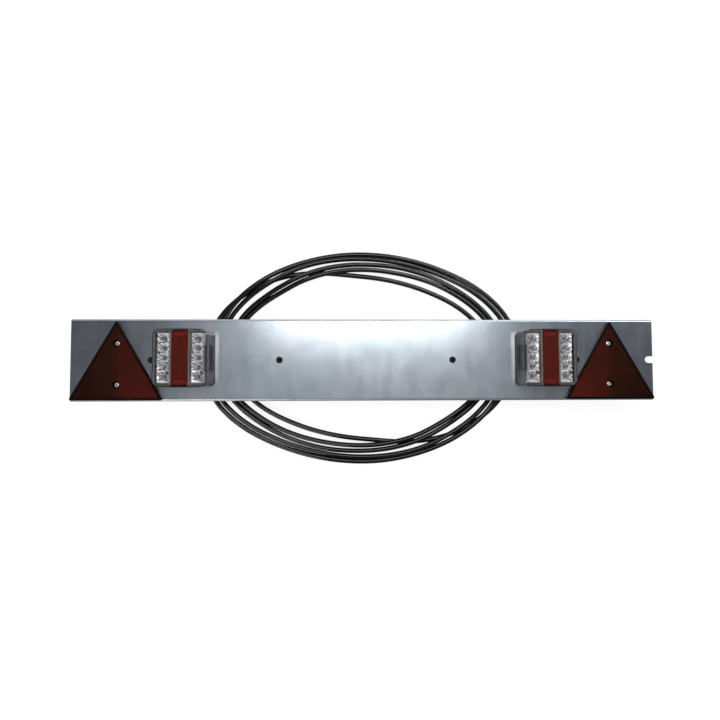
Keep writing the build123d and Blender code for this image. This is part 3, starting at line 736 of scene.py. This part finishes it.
def clear_lens_finish(name):
    """Clear moulded plastic: hardly there from the front, glossy along its walls, whose grey is a painted
    reflection that shows more the more they turn from the view.

    Its front is frosted round the banks and has painted shade along its bevelled edge, the ribs beside the
    strip have a painted highlight along their tops, and the plate lamp's window in the inner wall has a faint
    dark tint.
    """
    material, tree, shader, vector = new_material(name, roughness=0.06, ior=1.5)
    colours = {part: opaque(colour) for part, colour in LENS_COLOURS.items()}
    grains, mottle = grain_masks(tree, vector, *LENS_GRAIN)
    bump(tree, shader, mottle, LENS_WAVE_DEPTH, LENS_WAVE_STRENGTH)
    x, y, z = board_axes(tree, vector)
    outwards = past(tree, x, "right_lamp_lens")
    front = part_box("right_lamp_lens")[1].z
    across_ribs = band(tree, maths(tree, "ABSOLUTE", outwards), *LENS_RIBS)
    rib_tops = product(tree, across_ribs, band(tree, z, *RIB_TOPS))
    rib_walls = product(tree, across_ribs, band(tree, z, *RIB_WALLS))
    frosted = lens_frost(tree, outwards, y, z)
    edge = band(tree, z, *(front - depth for depth in LENS_EDGE))
    low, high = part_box("right_plate_lamp_shroud")
    window = product(tree, band(tree, y, low.y, high.y), band(tree, z, WINDOW_FOOT, high.z),
                     maths(tree, "LESS_THAN", outwards, WINDOW_PLACE))

    tint = blend_colours(tree, mottle, colours["dark wall"], colours["pale wall"])
    specks = ramp(tree, grains, *FROST_SPECKS)
    frost = blend_colours(tree, specks, colours["dark frost"], colours["pale frost"])
    tint = blend_colours(tree, frosted, tint, frost)
    # Painted shade: a near-black line along the front's bevelled edge.
    tint = blend_colours(tree, edge, tint, colours["edge"])
    # Painted highlight: the ribs' tops are coloured pale.
    tint = blend_colours(tree, rib_tops, tint, colours["rib top highlight"])
    feed(tree, shader, "Base Color", blend_colours(tree, window, tint, colours["window"]))

    # Painted reflection: the grey walls show more the more they turn from the view.
    facing = place(tree, "ShaderNodeLayerWeight", {"Blend": WALL_BLEND}).outputs["Facing"]
    walls = product(tree, ramp(tree, facing, *WALL_FACING, *WALL_ALPHA),
                    ramp(tree, z, *LENS_FRONT, 1.0, FRONT_SHARE))
    veil = maths(tree, "MAXIMUM", walls, product(tree, frosted, LENS_ALPHA["frost"]))
    veil = maths(tree, "MAXIMUM", veil, product(tree, edge, LENS_ALPHA["edge"]))
    veil = blend_values(tree, rib_walls, veil, LENS_ALPHA["rib wall"])
    veil = blend_values(tree, rib_tops, veil, LENS_ALPHA["rib top highlight"])
    feed(tree, shader, "Alpha", blend_values(tree, window, veil, LENS_ALPHA["window"]))
    return material


def bright_reflector_finish(name):
    """Metallised plastic, slightly clouded, whose facets carry painted sparkle, each a fixed tone, with a
    painted glow on the brightest.
    """
    material, tree, shader, vector = new_material(name, metallic=0.45, emission_strength=1.0)
    _, mottle = grain_masks(tree, vector, *CUP_GRAIN)
    facet = place(tree, "ShaderNodeAttribute", attribute_name=PAINTED_SPARKLE).outputs["Fac"]
    feed(tree, shader, "Base Color", blend_colours(tree, facet, *map(opaque, CUP_SPARKLE_COLOURS)))
    feed(tree, shader, "Roughness", spread(tree, mottle, *CUP_ROUGHNESS))
    feed(tree, shader, "Emission Color", blend_colours(tree, facet, *map(opaque, CUP_PAINTED_GLOW)))
    return material


def make_finishes():
    """The finish of each material slot in the record, and of the strips and shrouds."""
    colours = settings().colours
    finishes = {
        slot: plain_finish(name, colour, roughness, grain, **others)
        for slot, (name, colour, roughness, grain, others) in PLAIN_FINISHES.items()
    }
    finishes.update({
        "zinc_sheet": zinc_sheet_finish("zinc sheet", colours),
        "cable_sheath": plain_finish(
            "cable sheath", colours.cable_black, 0.10, (300.0, 60.0), relief=0.001, specular_ior_level=0.5),
        "black_plastic": plain_finish(
            "black plastic", colours.black_plastic, 0.4, (1100.0, 45.0), specular_ior_level=0.1),
        "red_reflex": triangle_finish("red reflex plastic", colours),
        "reflex_strip": strip_finish("red reflex strip", colours),
        "bright_reflector": bright_reflector_finish("metallised reflector"),
        "clear_lens": clear_lens_finish("clear lens plastic"),
    })
    return finishes


FINISHES = {}


def finish_of(slot):
    """The finish of a material slot; all are made the first time that one is asked for."""
    if not FINISHES:
        FINISHES.update(make_finishes())
    return FINISHES[slot]


def slot_of(node):
    """A node's material slot in the record; the lamps' strips and shrouds have finishes of their own."""
    for ending in ("reflex_strip", "lamp_shroud"):
        if node.endswith(ending):
            return ending
    return next(row["material_slot"] for row in frame["record"]["subparts"] if row["node"] == node)


def dress(*nodes):
    """Give CAD nodes the finish of their record slots."""
    for node in nodes:
        materials = NODES[node].data.materials
        finish = finish_of(slot_of(node))
        if not materials:
            materials.append(finish)
        for index in range(len(materials)):
            materials[index] = finish


def new_piece(name, data):
    piece = bpy.data.objects.new(name, data)
    bpy.context.scene.collection.objects.link(piece)
    return piece


def finish_piece(name, mesh, slot, *nodes):
    """Show a mesh in place of CAD nodes, with the finish of their record slot."""
    if not mesh.materials:
        mesh.materials.append(finish_of(slot))
    piece = new_piece(name, mesh)
    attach(piece, "root")
    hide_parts(*nodes)
    return piece


def smooth_mesh(name, shape, crease=35.0):
    """A mesh from edit data, smooth except along edges sharper than the crease."""
    bmesh.ops.recalc_face_normals(shape, faces=shape.faces)
    mesh = bpy.data.meshes.new(name)
    shape.to_mesh(mesh)
    shape.free()
    mesh.shade_smooth()
    mesh.set_sharp_from_angle(angle=radians(crease))
    return mesh


def turned(name, profile, closed=False, sides=32):
    """Turn a profile about Z; a closed one makes a ring, an open one starts and ends on the axis."""
    shape = bmesh.new()
    rings = []
    for radius, height, *flats in profile:
        ring = []
        for index in range(sides if radius else 1):
            angle = tau * index / sides
            reach = radius * MM
            if flats:
                wedge = tau / flats[0]
                reach /= cos((angle + wedge / 2) % wedge - wedge / 2)
            ring.append(shape.verts.new((reach * cos(angle), reach * sin(angle), height * MM)))
        rings.append(ring)
    following = rings[1:] + rings[:1] if closed else rings[1:]
    for first, second in zip(rings, following):
        for index in range(sides):
            after = (index + 1) % sides
            corners = [first[index % len(first)], first[after % len(first)],
                       second[after % len(second)], second[index % len(second)]]
            shape.faces.new(dict.fromkeys(corners))
    return smooth_mesh(name, shape)


def joined(name, meshes):
    """Several meshes as one."""
    shape = bmesh.new()
    for mesh in meshes:
        shape.from_mesh(mesh)
    whole = bpy.data.meshes.new(name)
    shape.to_mesh(whole)
    shape.free()
    for material in meshes[0].materials:
        whole.materials.append(material)
    return whole


def geometry_tree(name, sockets):
    """An empty geometry tree with named inputs."""
    tree = bpy.data.node_groups.new(name, "GeometryNodeTree")
    tree.interface.new_socket("Geometry", in_out="INPUT", socket_type="NodeSocketGeometry")
    for label, kind in sockets:
        tree.interface.new_socket(label, in_out="INPUT", socket_type=kind)
    tree.interface.new_socket("Geometry", in_out="OUTPUT", socket_type="NodeSocketGeometry")
    return tree, tree.nodes.new("NodeGroupInput").outputs, tree.nodes.new("NodeGroupOutput").inputs


def end_tree(tree, instances, finish, sink):
    """Make instances real and give them their finish."""
    real = place(tree, "GeometryNodeRealizeInstances", {"Geometry": instances}).outputs["Geometry"]
    dressed = place(tree, "GeometryNodeSetMaterial", {"Geometry": real, "Material": finish})
    tree.links.new(dressed.outputs["Geometry"], sink["Geometry"])
    return tree


def build_rows_and_columns(name):
    """Rows and columns of one shape about the origin."""
    tree, source, sink = geometry_tree(name, (
        ("Shape", "NodeSocketObject"), ("Finish", "NodeSocketMaterial"),
        ("Columns", "NodeSocketInt"), ("Column Spacing", "NodeSocketFloat"),
        ("Rows", "NodeSocketInt"), ("Row Spacing", "NodeSocketFloat"),
    ))
    shape = place(tree, "GeometryNodeObjectInfo", {"Object": source["Shape"]}).outputs["Geometry"]
    for count, spacing, axis in (("Rows", "Row Spacing", "Y"), ("Columns", "Column Spacing", "X")):
        step = place(tree, "ShaderNodeCombineXYZ", {axis: source[spacing]}).outputs[0]
        back = maths(tree, "MULTIPLY", maths(tree, "SUBTRACT", source[count], 1.0), -0.5)
        start = place(tree, "ShaderNodeVectorMath", {0: step, "Scale": back}, operation="SCALE").outputs[0]
        line = place(tree, "GeometryNodeMeshLine",
                     {"Count": source[count], "Start Location": start, "Offset": step})
        copies = place(tree, "GeometryNodeInstanceOnPoints",
                       {"Points": line.outputs["Mesh"], "Instance": shape})
        shape = copies.outputs["Instances"]
    return end_tree(tree, shape, source["Finish"], sink)


def build_ring(name):
    """One shape repeated round the Z axis, each turned outwards."""
    tree, source, sink = geometry_tree(name, (
        ("Shape", "NodeSocketObject"), ("Finish", "NodeSocketMaterial"),
        ("Count", "NodeSocketInt"), ("Radius", "NodeSocketFloat"),
    ))
    shape = place(tree, "GeometryNodeObjectInfo", {"Object": source["Shape"]}).outputs["Geometry"]
    circle = place(tree, "GeometryNodeMeshCircle", {"Vertices": source["Count"], "Radius": source["Radius"]})
    position = tree.nodes.new("GeometryNodeInputPosition").outputs[0]
    spot = place(tree, "ShaderNodeSeparateXYZ", {"Vector": position}).outputs
    angle = maths(tree, "ARCTAN2", spot["Y"], spot["X"])
    turn = place(tree, "ShaderNodeCombineXYZ", {"Z": angle}).outputs[0]
    copies = place(tree, "GeometryNodeInstanceOnPoints",
                   {"Points": circle.outputs["Mesh"], "Instance": shape, "Rotation": turn})
    return end_tree(tree, copies.outputs["Instances"], source["Finish"], sink)


def repeated(name, tree, shape_mesh, slot, **values):
    """Repeat a shape by a node tree and keep the result as a plain mesh."""
    shape = new_piece(f"{name}_shape", shape_mesh)
    carrier = new_piece(name, bpy.data.meshes.new(f"{name}_carrier"))
    modifier = carrier.modifiers.new(name, "NODES")
    modifier.node_group = tree
    wanted = {"Shape": shape, "Finish": finish_of(slot)}
    wanted.update({label.replace("_", " ").title(): value for label, value in values.items()})
    for socket in tree.interface.items_tree:
        if socket.in_out == "INPUT" and socket.name in wanted:
            modifier[socket.identifier] = wanted[socket.name]
    graph = bpy.context.evaluated_depsgraph_get()
    mesh = bpy.data.meshes.new_from_object(carrier.evaluated_get(graph))
    mesh.name = name
    carrier.modifiers.clear()
    bpy.data.objects.remove(carrier)
    bpy.data.objects.remove(shape)
    return mesh


def in_rows(name, shape_mesh, slot, middle, columns, rows):
    """Columns and rows, each given as (count, spacing), of a shape about a middle on the board."""
    tree = shared_group("Rows and Columns", build_rows_and_columns)
    mesh = repeated(name, tree, shape_mesh, slot, columns=columns[0], column_spacing=columns[1],
                    rows=rows[0], row_spacing=rows[1])
    mesh.transform(Matrix.Translation(middle))
    return mesh


def in_ring(name, shape_mesh, slot, count, radius):
    """A ring of a shape about Z, with its radius in millimetres."""
    tree = shared_group("Ring", build_ring)
    return repeated(name, tree, shape_mesh, slot, count=count, radius=radius * MM)


def pairs_of(node, width):
    """Middle of a node's repeated pieces on the face, and the spacing of their columns and rows."""
    low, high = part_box(node)
    middle = Vector(((low.x + high.x) / 2, (low.y + high.y) / 2, 0.0))
    return middle, high.x - low.x - width * MM, high.y - low.y - width * MM


def thread(radius, pitch, depth, top, bottom):
    """The zigzag outline of a thread between two heights."""
    outline = []
    while top - pitch > bottom:
        outline += [(radius - depth, top - pitch / 2), (radius, top - pitch)]
        top -= pitch
    return tuple(outline)


def cup_cell(width, pitch):
    """One open cell of a reflector bank, its top at the origin: a faceted cup under a slanting land."""
    shape = bmesh.new()
    segments = CUP_FACETS // 4
    half_x, half_y = width / 2, pitch / 2
    corners = [(half_x, half_y), (-half_x, half_y), (-half_x, -half_y), (half_x, -half_y)]
    rim = []
    for (start_x, start_y), (end_x, end_y) in zip(corners, corners[1:] + corners[:1]):
        for step in range(segments):
            share = step / segments
            spot = (start_x + (end_x - start_x) * share, start_y + (end_y - start_y) * share, 0.0)
            rim.append(shape.verts.new(spot))
    rings = [rim]
    for tier, (radius, depth, unevenness) in enumerate(CUP_TIERS):
        ring = []
        for index in range(CUP_FACETS):
            angle = pi / 4 + tau * (index + tier % 2 / 2) / CUP_FACETS
            level = -depth - unevenness * sin(CUP_WAVES[0] * index + CUP_WAVES[1] * tier)
            ring.append(shape.verts.new((radius * MM * cos(angle), radius * MM * sin(angle), level * MM)))
        rings.append(ring)
    for tier, (first, second) in enumerate(zip(rings, rings[1:])):
        for index in range(CUP_FACETS):
            after = (index + 1) % CUP_FACETS
            if tier % 2:
                shape.faces.new((first[index], first[after], second[index]))
                shape.faces.new((first[after], second[after], second[index]))
            else:
                shape.faces.new((first[index], first[after], second[after]))
                shape.faces.new((first[index], second[after], second[index]))
    mesh = bpy.data.meshes.new("cup cell")
    shape.to_mesh(mesh)
    shape.free()
    return mesh


def close_bank(mesh, top, bottom, half_height):
    """Join a bank's cells, add its end lands and outer walls and close it underneath."""
    shape = bmesh.new()
    shape.from_mesh(mesh)
    bmesh.ops.remove_doubles(shape, verts=shape.verts, dist=TOUCHING)

    def rim_edges():
        return [edge for edge in shape.edges if edge.is_boundary and all(
            abs(vert.co.z - top) < TOUCHING for vert in edge.verts)]

    def draw_out(edges, axis, level):
        # The new faces follow the order of the edges, so that every run gives them the same painted sparkle.
        made = {}
        for vert in (vert for edge in edges for vert in edge.verts):
            if vert not in made:
                made[vert] = shape.verts.new(vert.co)
                made[vert].co[axis] = level
        for edge in edges:
            first, second = edge.verts
            shape.faces.new((first, second, made[second], made[first]))

    middle = sum((vert.co.y for vert in shape.verts), 0.0) / len(shape.verts)
    reach = max(vert.co.y for vert in shape.verts) - middle
    for end in (-1, 1):
        line = middle + end * reach
        edges = [edge for edge in rim_edges() if all(
            abs(vert.co.y - line) < TOUCHING for vert in edge.verts)]
        draw_out(edges, 1, middle + end * half_height)
    draw_out(rim_edges(), 2, bottom)
    open_edges = [edge for edge in shape.edges if edge.is_boundary]
    bmesh.ops.triangle_fill(shape, use_beauty=True, edges=open_edges)
    bmesh.ops.recalc_face_normals(shape, faces=shape.faces)
    shape.to_mesh(mesh)
    shape.free()
    # Painted sparkle: each facet gets a fixed tone from its normal and its index, standing in for glints of
    # light.
    painted_sparkles = mesh.attributes.new(PAINTED_SPARKLE, "FLOAT", "FACE")
    wave_x, wave_y, wave_index = SPARKLE_WAVES
    for facet, tone in zip(mesh.polygons, painted_sparkles.data):
        phase = wave_x * facet.normal.x + wave_y * facet.normal.y + wave_index * facet.index
        tone.value = 0.5 + 0.5 * sin(phase)


def coil_points(sizes):
    """The turns of the coil, each half turn in the lane that the one before leaves to it."""
    floor = CAD_BOX[0].z + sizes.cable_diameter / 2
    angles, shares, rises = [], [], []
    for half_turn in range(2 * sizes.coil_turns):
        turn, on_top = divmod(half_turn, 2)
        strand = (len(STRANDS) - 1 - 3 * turn - on_top) % len(STRANDS)
        angles += [180.0 * (half_turn + 1) + station for station in STATIONS]
        shares += STRANDS[strand]
        rises.append(CROSSINGS[strand])
    points = []
    end = angles[-1] + COIL_OVERRUN
    count = round((end - COIL_START) / 360.0 * sizes.points_per_turn)
    undo_shrink = 1 / cos(pi / sizes.points_per_turn)
    lanes = tuple(zip(sizes.inner_lane, sizes.outer_lane))
    for angle in np.linspace(COIL_START, end, count + 1):
        share = float(np.interp(angle, angles, shares))
        reach_x, reach_y = ((inner + (outer - inner) * share) * undo_shrink for inner, outer in lanes)
        side = sin(radians(angle))
        lean = sizes.lower_lean * min(max(LEAN_AT_MIDDLE - LEAN_GROWTH * side, 0.0), 1.0)
        crossing = rises[min(int(angle // 180.0) - 1, len(rises) - 1)]
        rise = 0.0
        if crossing:
            away = abs(angle % 180.0 - crossing)
            rise = sizes.cable_diameter * min(max((HUMP_REACH - away) / HUMP_SLOPE, 0.0), 1.0)
        points.append((lean + reach_x * cos(radians(angle)), sizes.coil_rise + reach_y * side, floor + rise))
    return points


def cable_curve(name, points, diameter):
    """A smooth round cable whose control points are the route's points."""
    curve = bpy.data.curves.new(name, "CURVE")
    curve.dimensions = "3D"
    curve.bevel_depth = diameter / 2
    curve.bevel_resolution = 8
    curve.use_fill_caps = True
    curve.resolution_u = 6
    spline = curve.splines.new("NURBS")
    spline.points.add(len(points) - 1)
    for control, point in zip(spline.points, points):
        control.co = (*point, 1.0)
    spline.order_u = 3
    spline.use_endpoint_u = True
    return curve


class MakeRivets(bpy.types.Operator):
    """Turn the blind rivets and the stubs of their mandrels and set them in the triangles."""

    bl_idname = "lighting_board.make_rivets"
    bl_label = "Rivets"

    def execute(self, context):
        middle, across, along = pairs_of("reflector_rivets", RIVET_WIDTH)
        rivet = turned("rivet", RIVET_PROFILE, closed=True)
        mandrel = turned("mandrel", MANDREL_PROFILE, sides=24)
        rivets = (
            ("blind_rivets", rivet, "rivet_aluminium", "reflector_rivets"),
            ("mandrel_stubs", mandrel, "dark_steel", "rivet_mandrels"),
        )
        for name, shape, slot, node in rivets:
            mesh = in_rows(name, shape, slot, middle, (2, across), (2, along))
            finish_piece(name, mesh, slot, node)
        return {"FINISHED"}


class MakeLampFixings(bpy.types.Operator):
    """Make the lamps' bolts, washers and nuts and the grommets beside them."""

    bl_idname = "lighting_board.make_lamp_fixings"
    bl_label = "Lamp Fixings"

    def execute(self, context):
        middle, across, along = pairs_of("lamp_washers", WASHER_WIDTH)
        bolt = (*BOLT_HEAD, *thread(**BOLT_THREAD), *BOLT_TIP)
        fixings = (
            ("hex_bolts", turned("bolt", bolt, sides=24), "lamp_bolts"),
            ("flat_washers", turned("washer", WASHER_PROFILE, closed=True), "lamp_washers"),
            ("hex_nuts", turned("nut", NUT_PROFILE, closed=True, sides=24), "lamp_nuts"),
        )
        for name, shape, node in fixings:
            mesh = in_rows(name, shape, "plated_steel", middle, (2, across), (2, along))
            finish_piece(name, mesh, "plated_steel", node)
        middle, across, _ = pairs_of("cable_grommets", GROMMET_WIDTH)
        shape = turned("grommet", GROMMET_PROFILE, closed=True)
        mesh = in_rows("rubber_grommets", shape, "black_rubber", middle, (2, across), (1, 0.0))
        finish_piece("rubber_grommets", mesh, "black_rubber", "cable_grommets")
        return {"FINISHED"}


class MakeReflectors(bpy.types.Operator):
    """Build the banks of faceted cups and the LED packages at the bottom of the cups."""

    bl_idname = "lighting_board.make_reflectors"
    bl_label = "Reflector Banks"

    def execute(self, context):
        sizes = settings().sizes
        package = turned("package", LED_PROFILE, sides=24)
        small_profile = [(radius * PLATE_LED_SHARE, *rest) for radius, *rest in LED_PROFILE]
        small = turned("plate package", small_profile, sides=24)
        for side in SIDES:
            middles = []
            for bank in BANKS:
                node = f"{side}_{bank}_reflector"
                low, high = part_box(node)
                pitch = (high.y - low.y - 2 * sizes.bank_end_land) / CUP_COUNT
                middle = Vector(((low.x + high.x) / 2, (low.y + high.y) / 2, high.z))
                cell = cup_cell(high.x - low.x, pitch)
                name = f"{side}_{bank}_cups"
                mesh = in_rows(name, cell, "bright_reflector", middle, (1, 0.0), (CUP_COUNT, pitch))
                close_bank(mesh, high.z, low.z, (high.y - low.y) / 2)
                finish_piece(name, mesh, "bright_reflector", node)
                middles.append(Vector((middle.x, middle.y, low.z)))
            node = f"{side}_lamp_leds"
            columns = (2, abs(middles[0].x - middles[1].x))
            rows = in_rows(f"{side}_bank_leds", package, "led_package", (middles[0] + middles[1]) / 2,
                           columns, (CUP_COUNT, pitch))
            low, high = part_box(node)
            inset = sizes.plate_led / 2
            plate_x = low.x + inset if abs(low.x) < abs(high.x) else high.x - inset
            plate = Vector((plate_x, middles[0].y, low.z))
            pair = in_rows(f"{side}_plate_leds", small, "led_package", plate, (1, 0.0),
                           (2, sizes.plate_led_pitch))
            name = f"{side}_led_packages"
            finish_piece(name, joined(name, (rows, pair)), "led_package", node)
        return {"FINISHED"}


class MakePlug(bpy.types.Operator):
    """Build the plug: ribbed body, insert with its collars, pins and gland nut."""

    bl_idname = "lighting_board.make_plug"
    bl_label = "Plug"

    def execute(self, context):
        low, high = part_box("plug_body")
        rear = Vector((low.x, (low.y + high.y) / 2, (low.z + high.z) / 2))
        lie = Matrix.Translation(rear) @ Matrix.Rotation(pi / 2, 4, "Y")
        bar = bmesh.new()
        stretch = Matrix.Diagonal((*(part * MM for part in RIB_SIZE), 1.0))
        bmesh.ops.create_cube(bar, size=1.0, matrix=Matrix.Translation((0.0, 0.0, RIB_HEIGHT * MM)) @ stretch)
        bmesh.ops.bevel(bar, geom=bar.edges, offset=RIB_BEVEL * MM, segments=3, affect="EDGES", profile=0.5)
        rib = smooth_mesh("rib", bar, crease=50.0)
        ribs = in_ring("grip_ribs", rib, "plug_plastic", RIB_COUNT, RIB_RADIUS)
        body = joined("ribbed_plug_body", (ribs, turned("plug", PLUG_PROFILE, sides=64)))
        collar = turned("collar", COLLAR_PROFILE, closed=True)
        collars = in_ring("pin_collars", collar.copy(), "plug_plastic", PIN_COUNT, PIN_CIRCLE)
        insert = joined("pin_insert", (collars, collar, turned("insert", INSERT_PROFILE, sides=48)))
        pin = turned("pin", PIN_PROFILE)
        ring = in_ring("ring_pins", pin.copy(), "brass_pins", PIN_COUNT, PIN_CIRCLE)
        pins = joined("brass_pins", (ring, pin))
        gland = turned("gland", GLAND_PROFILE, closed=True, sides=48)
        pieces = ((body, "plug_plastic", "plug_body"), (insert, "plug_plastic", "plug_insert"),
                  (pins, "brass_pins", "plug_pins"), (gland, "plug_plastic", "plug_gland_nut"))
        for name, (mesh, slot, node) in zip(PLUG_PIECES, pieces):
            mesh.transform(lie)
            finish_piece(name, mesh, slot, node)
        return {"FINISHED"}


class MakeCable(bpy.types.Operator):
    """Lay the cable from the left lamp through its coil to the plug."""

    bl_idname = "lighting_board.make_cable"
    bl_label = "Cable"

    def execute(self, context):
        sizes = settings().sizes
        points = [*LEAD_ROUTE, *coil_points(sizes), *TAIL_ROUTE]
        curve = cable_curve("seven_core_cable", points, sizes.cable_diameter)
        curve.materials.append(finish_of("cable_sheath"))
        cable = new_piece("seven_core_cable", curve)
        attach(cable, "root")
        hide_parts("cable_lead", "cable_coil", "cable_tail")
        return {"FINISHED"}


class DressSolids(bpy.types.Operator):
    """Give each solid that keeps its shape the finish of its material slot."""

    bl_idname = "lighting_board.dress_solids"
    bl_label = "Finishes"

    def execute(self, context):
        dress(*NODES)
        return {"FINISHED"}


def soft_light(name, place_at, aim, size, power):
    """A rectangular softbox that shines towards a point and stays out of the picture."""
    data = bpy.data.lights.new(name, "AREA")
    data.shape = "RECTANGLE"
    data.size, data.size_y = size
    data.energy = power
    light = new_piece(name, data)
    light.location = place_at
    light.rotation_euler = (Vector(aim) - Vector(place_at)).to_track_quat("-Z", "Y").to_euler()
    light.visible_camera = False


def lay_floor(glow):
    """A pale floor that gives off light to the camera, with a painted shadow under the board, darker in
    glossy reflections, and open from below.
    """
    level = CAD_BOX[0].z
    corners = [(FLOOR_HALF * x, FLOOR_HALF * y, level) for x, y in ((-1, -1), (1, -1), (1, 1), (-1, 1))]
    mesh = bpy.data.meshes.new("floor")
    mesh.from_pydata(corners, [], [(0, 1, 2, 3)])
    material, tree, shader, vector = new_material("pale floor", roughness=0.9)
    x, y, _ = board_axes(tree, vector)
    # Painted shadow: the floor is darkened under the board, and partly darkened where glossy rays see it.
    shadow = product(tree, ramp(tree, maths(tree, "ABSOLUTE", x), *SHADOW_ENDS),
                     ramp(tree, maths(tree, "ABSOLUTE", y), *SHADOW_SIDES))
    rays = tree.nodes.new("ShaderNodeLightPath").outputs
    dark = maths(tree, "MAXIMUM", shadow, product(tree, rays["Is Glossy Ray"], FLOOR_GLOSS_SHARE))
    for label, pale in (("Base Color", FLOOR_PALE), ("Emission Color", FLOOR_LIGHT)):
        feed(tree, shader, label, blend_colours(tree, dark, opaque(pale), opaque(FLOOR_DARK)))
    feed(tree, shader, "Emission Strength", spread(tree, rays["Is Camera Ray"], FLOOR_GLOW_UNSEEN, glow))
    underside = tree.nodes.new("ShaderNodeNewGeometry").outputs["Backfacing"]
    lets_through = maths(tree, "MAXIMUM", underside, rays["Is Shadow Ray"])
    clear = tree.nodes.new("ShaderNodeBsdfTransparent")
    one_sided = place(tree, "ShaderNodeMixShader",
                      {0: lets_through, 1: shader.outputs[0], 2: clear.outputs[0]})
    tree.links.new(one_sided.outputs[0], tree.nodes["Material Output"].inputs["Surface"])
    mesh.materials.append(material)
    new_piece("floor", mesh)


def surroundings():
    """A dim studio with paler walls round the horizon, which the camera sees as plain and pale."""
    world = bpy.data.worlds.new("studio")
    world.use_nodes = True
    tree = world.node_tree
    direction = tree.nodes.new("ShaderNodeTexCoord").outputs["Generated"]
    upwards = place(tree, "ShaderNodeSeparateXYZ", {"Vector": direction}).outputs["Z"]
    walls = ramp(tree, maths(tree, "ABSOLUTE", upwards), *WALLS_END)
    dim = tree.nodes["Background"]
    feed(tree, dim, "Color", blend_colours(tree, walls, opaque(SKY_DIM), opaque(SKY_WALLS)))
    pale = place(tree, "ShaderNodeBackground", {"Color": opaque(SKY_PALE)})
    seen = tree.nodes.new("ShaderNodeLightPath").outputs["Is Camera Ray"]
    mixed = place(tree, "ShaderNodeMixShader", {0: seen, 1: dim.outputs[0], 2: pale.outputs[0]})
    tree.links.new(mixed.outputs[0], tree.nodes["World Output"].inputs["Surface"])
    return world


def photo_camera(stage):
    """The camera at the photograph's place."""
    data = bpy.data.cameras.new("photo camera")
    data.sensor_width = SENSOR_WIDTH
    data.lens = stage.camera_lens
    data.clip_start = CLIP_START
    camera = new_piece("photo camera", data)
    camera.location = stage.camera_place
    camera.rotation_euler = stage.camera_turn
    return camera


class SetStage(bpy.types.Operator):
    """Set up the pale floor, the soft lights, the surroundings and the camera."""

    bl_idname = "lighting_board.set_stage"
    bl_label = "Stage"

    def execute(self, context):
        stage = settings().stage
        lay_floor(stage.floor_glow)
        for light in LIGHTS:
            soft_light(*light)
        scene = context.scene
        scene.world = surroundings()
        scene.camera = photo_camera(stage)
        scene.view_settings.view_transform = "Standard"
        return {"FINISHED"}


STEPS = (MakePlug, MakeCable, MakeRivets, MakeLampFixings, MakeReflectors, DressSolids, SetStage)


class LightingBoardPanel(bpy.types.Panel):
    """The steps that dress the lighting board."""

    bl_idname = "VIEW3D_PT_lighting_board"
    bl_label = "Lighting Board"
    bl_space_type = "VIEW_3D"
    bl_region_type = "UI"
    bl_category = "Lighting Board"

    def draw(self, context):
        for step in STEPS:
            self.layout.operator(step.bl_idname)


CLASSES = (BoardSizes, BoardColours, BoardStage, BoardSettings, *STEPS, LightingBoardPanel)


def register():
    for part in CLASSES:
        bpy.utils.register_class(part)
    bpy.types.Scene.lighting_board = PointerProperty(type=BoardSettings)


def unregister():
    del bpy.types.Scene.lighting_board
    for part in reversed(CLASSES):
        bpy.utils.unregister_class(part)


def main():
    register()
    for step in STEPS:
        group, name = step.bl_idname.split(".")
        getattr(getattr(bpy.ops, group), name)()


if __name__ == "__main__":
    main()
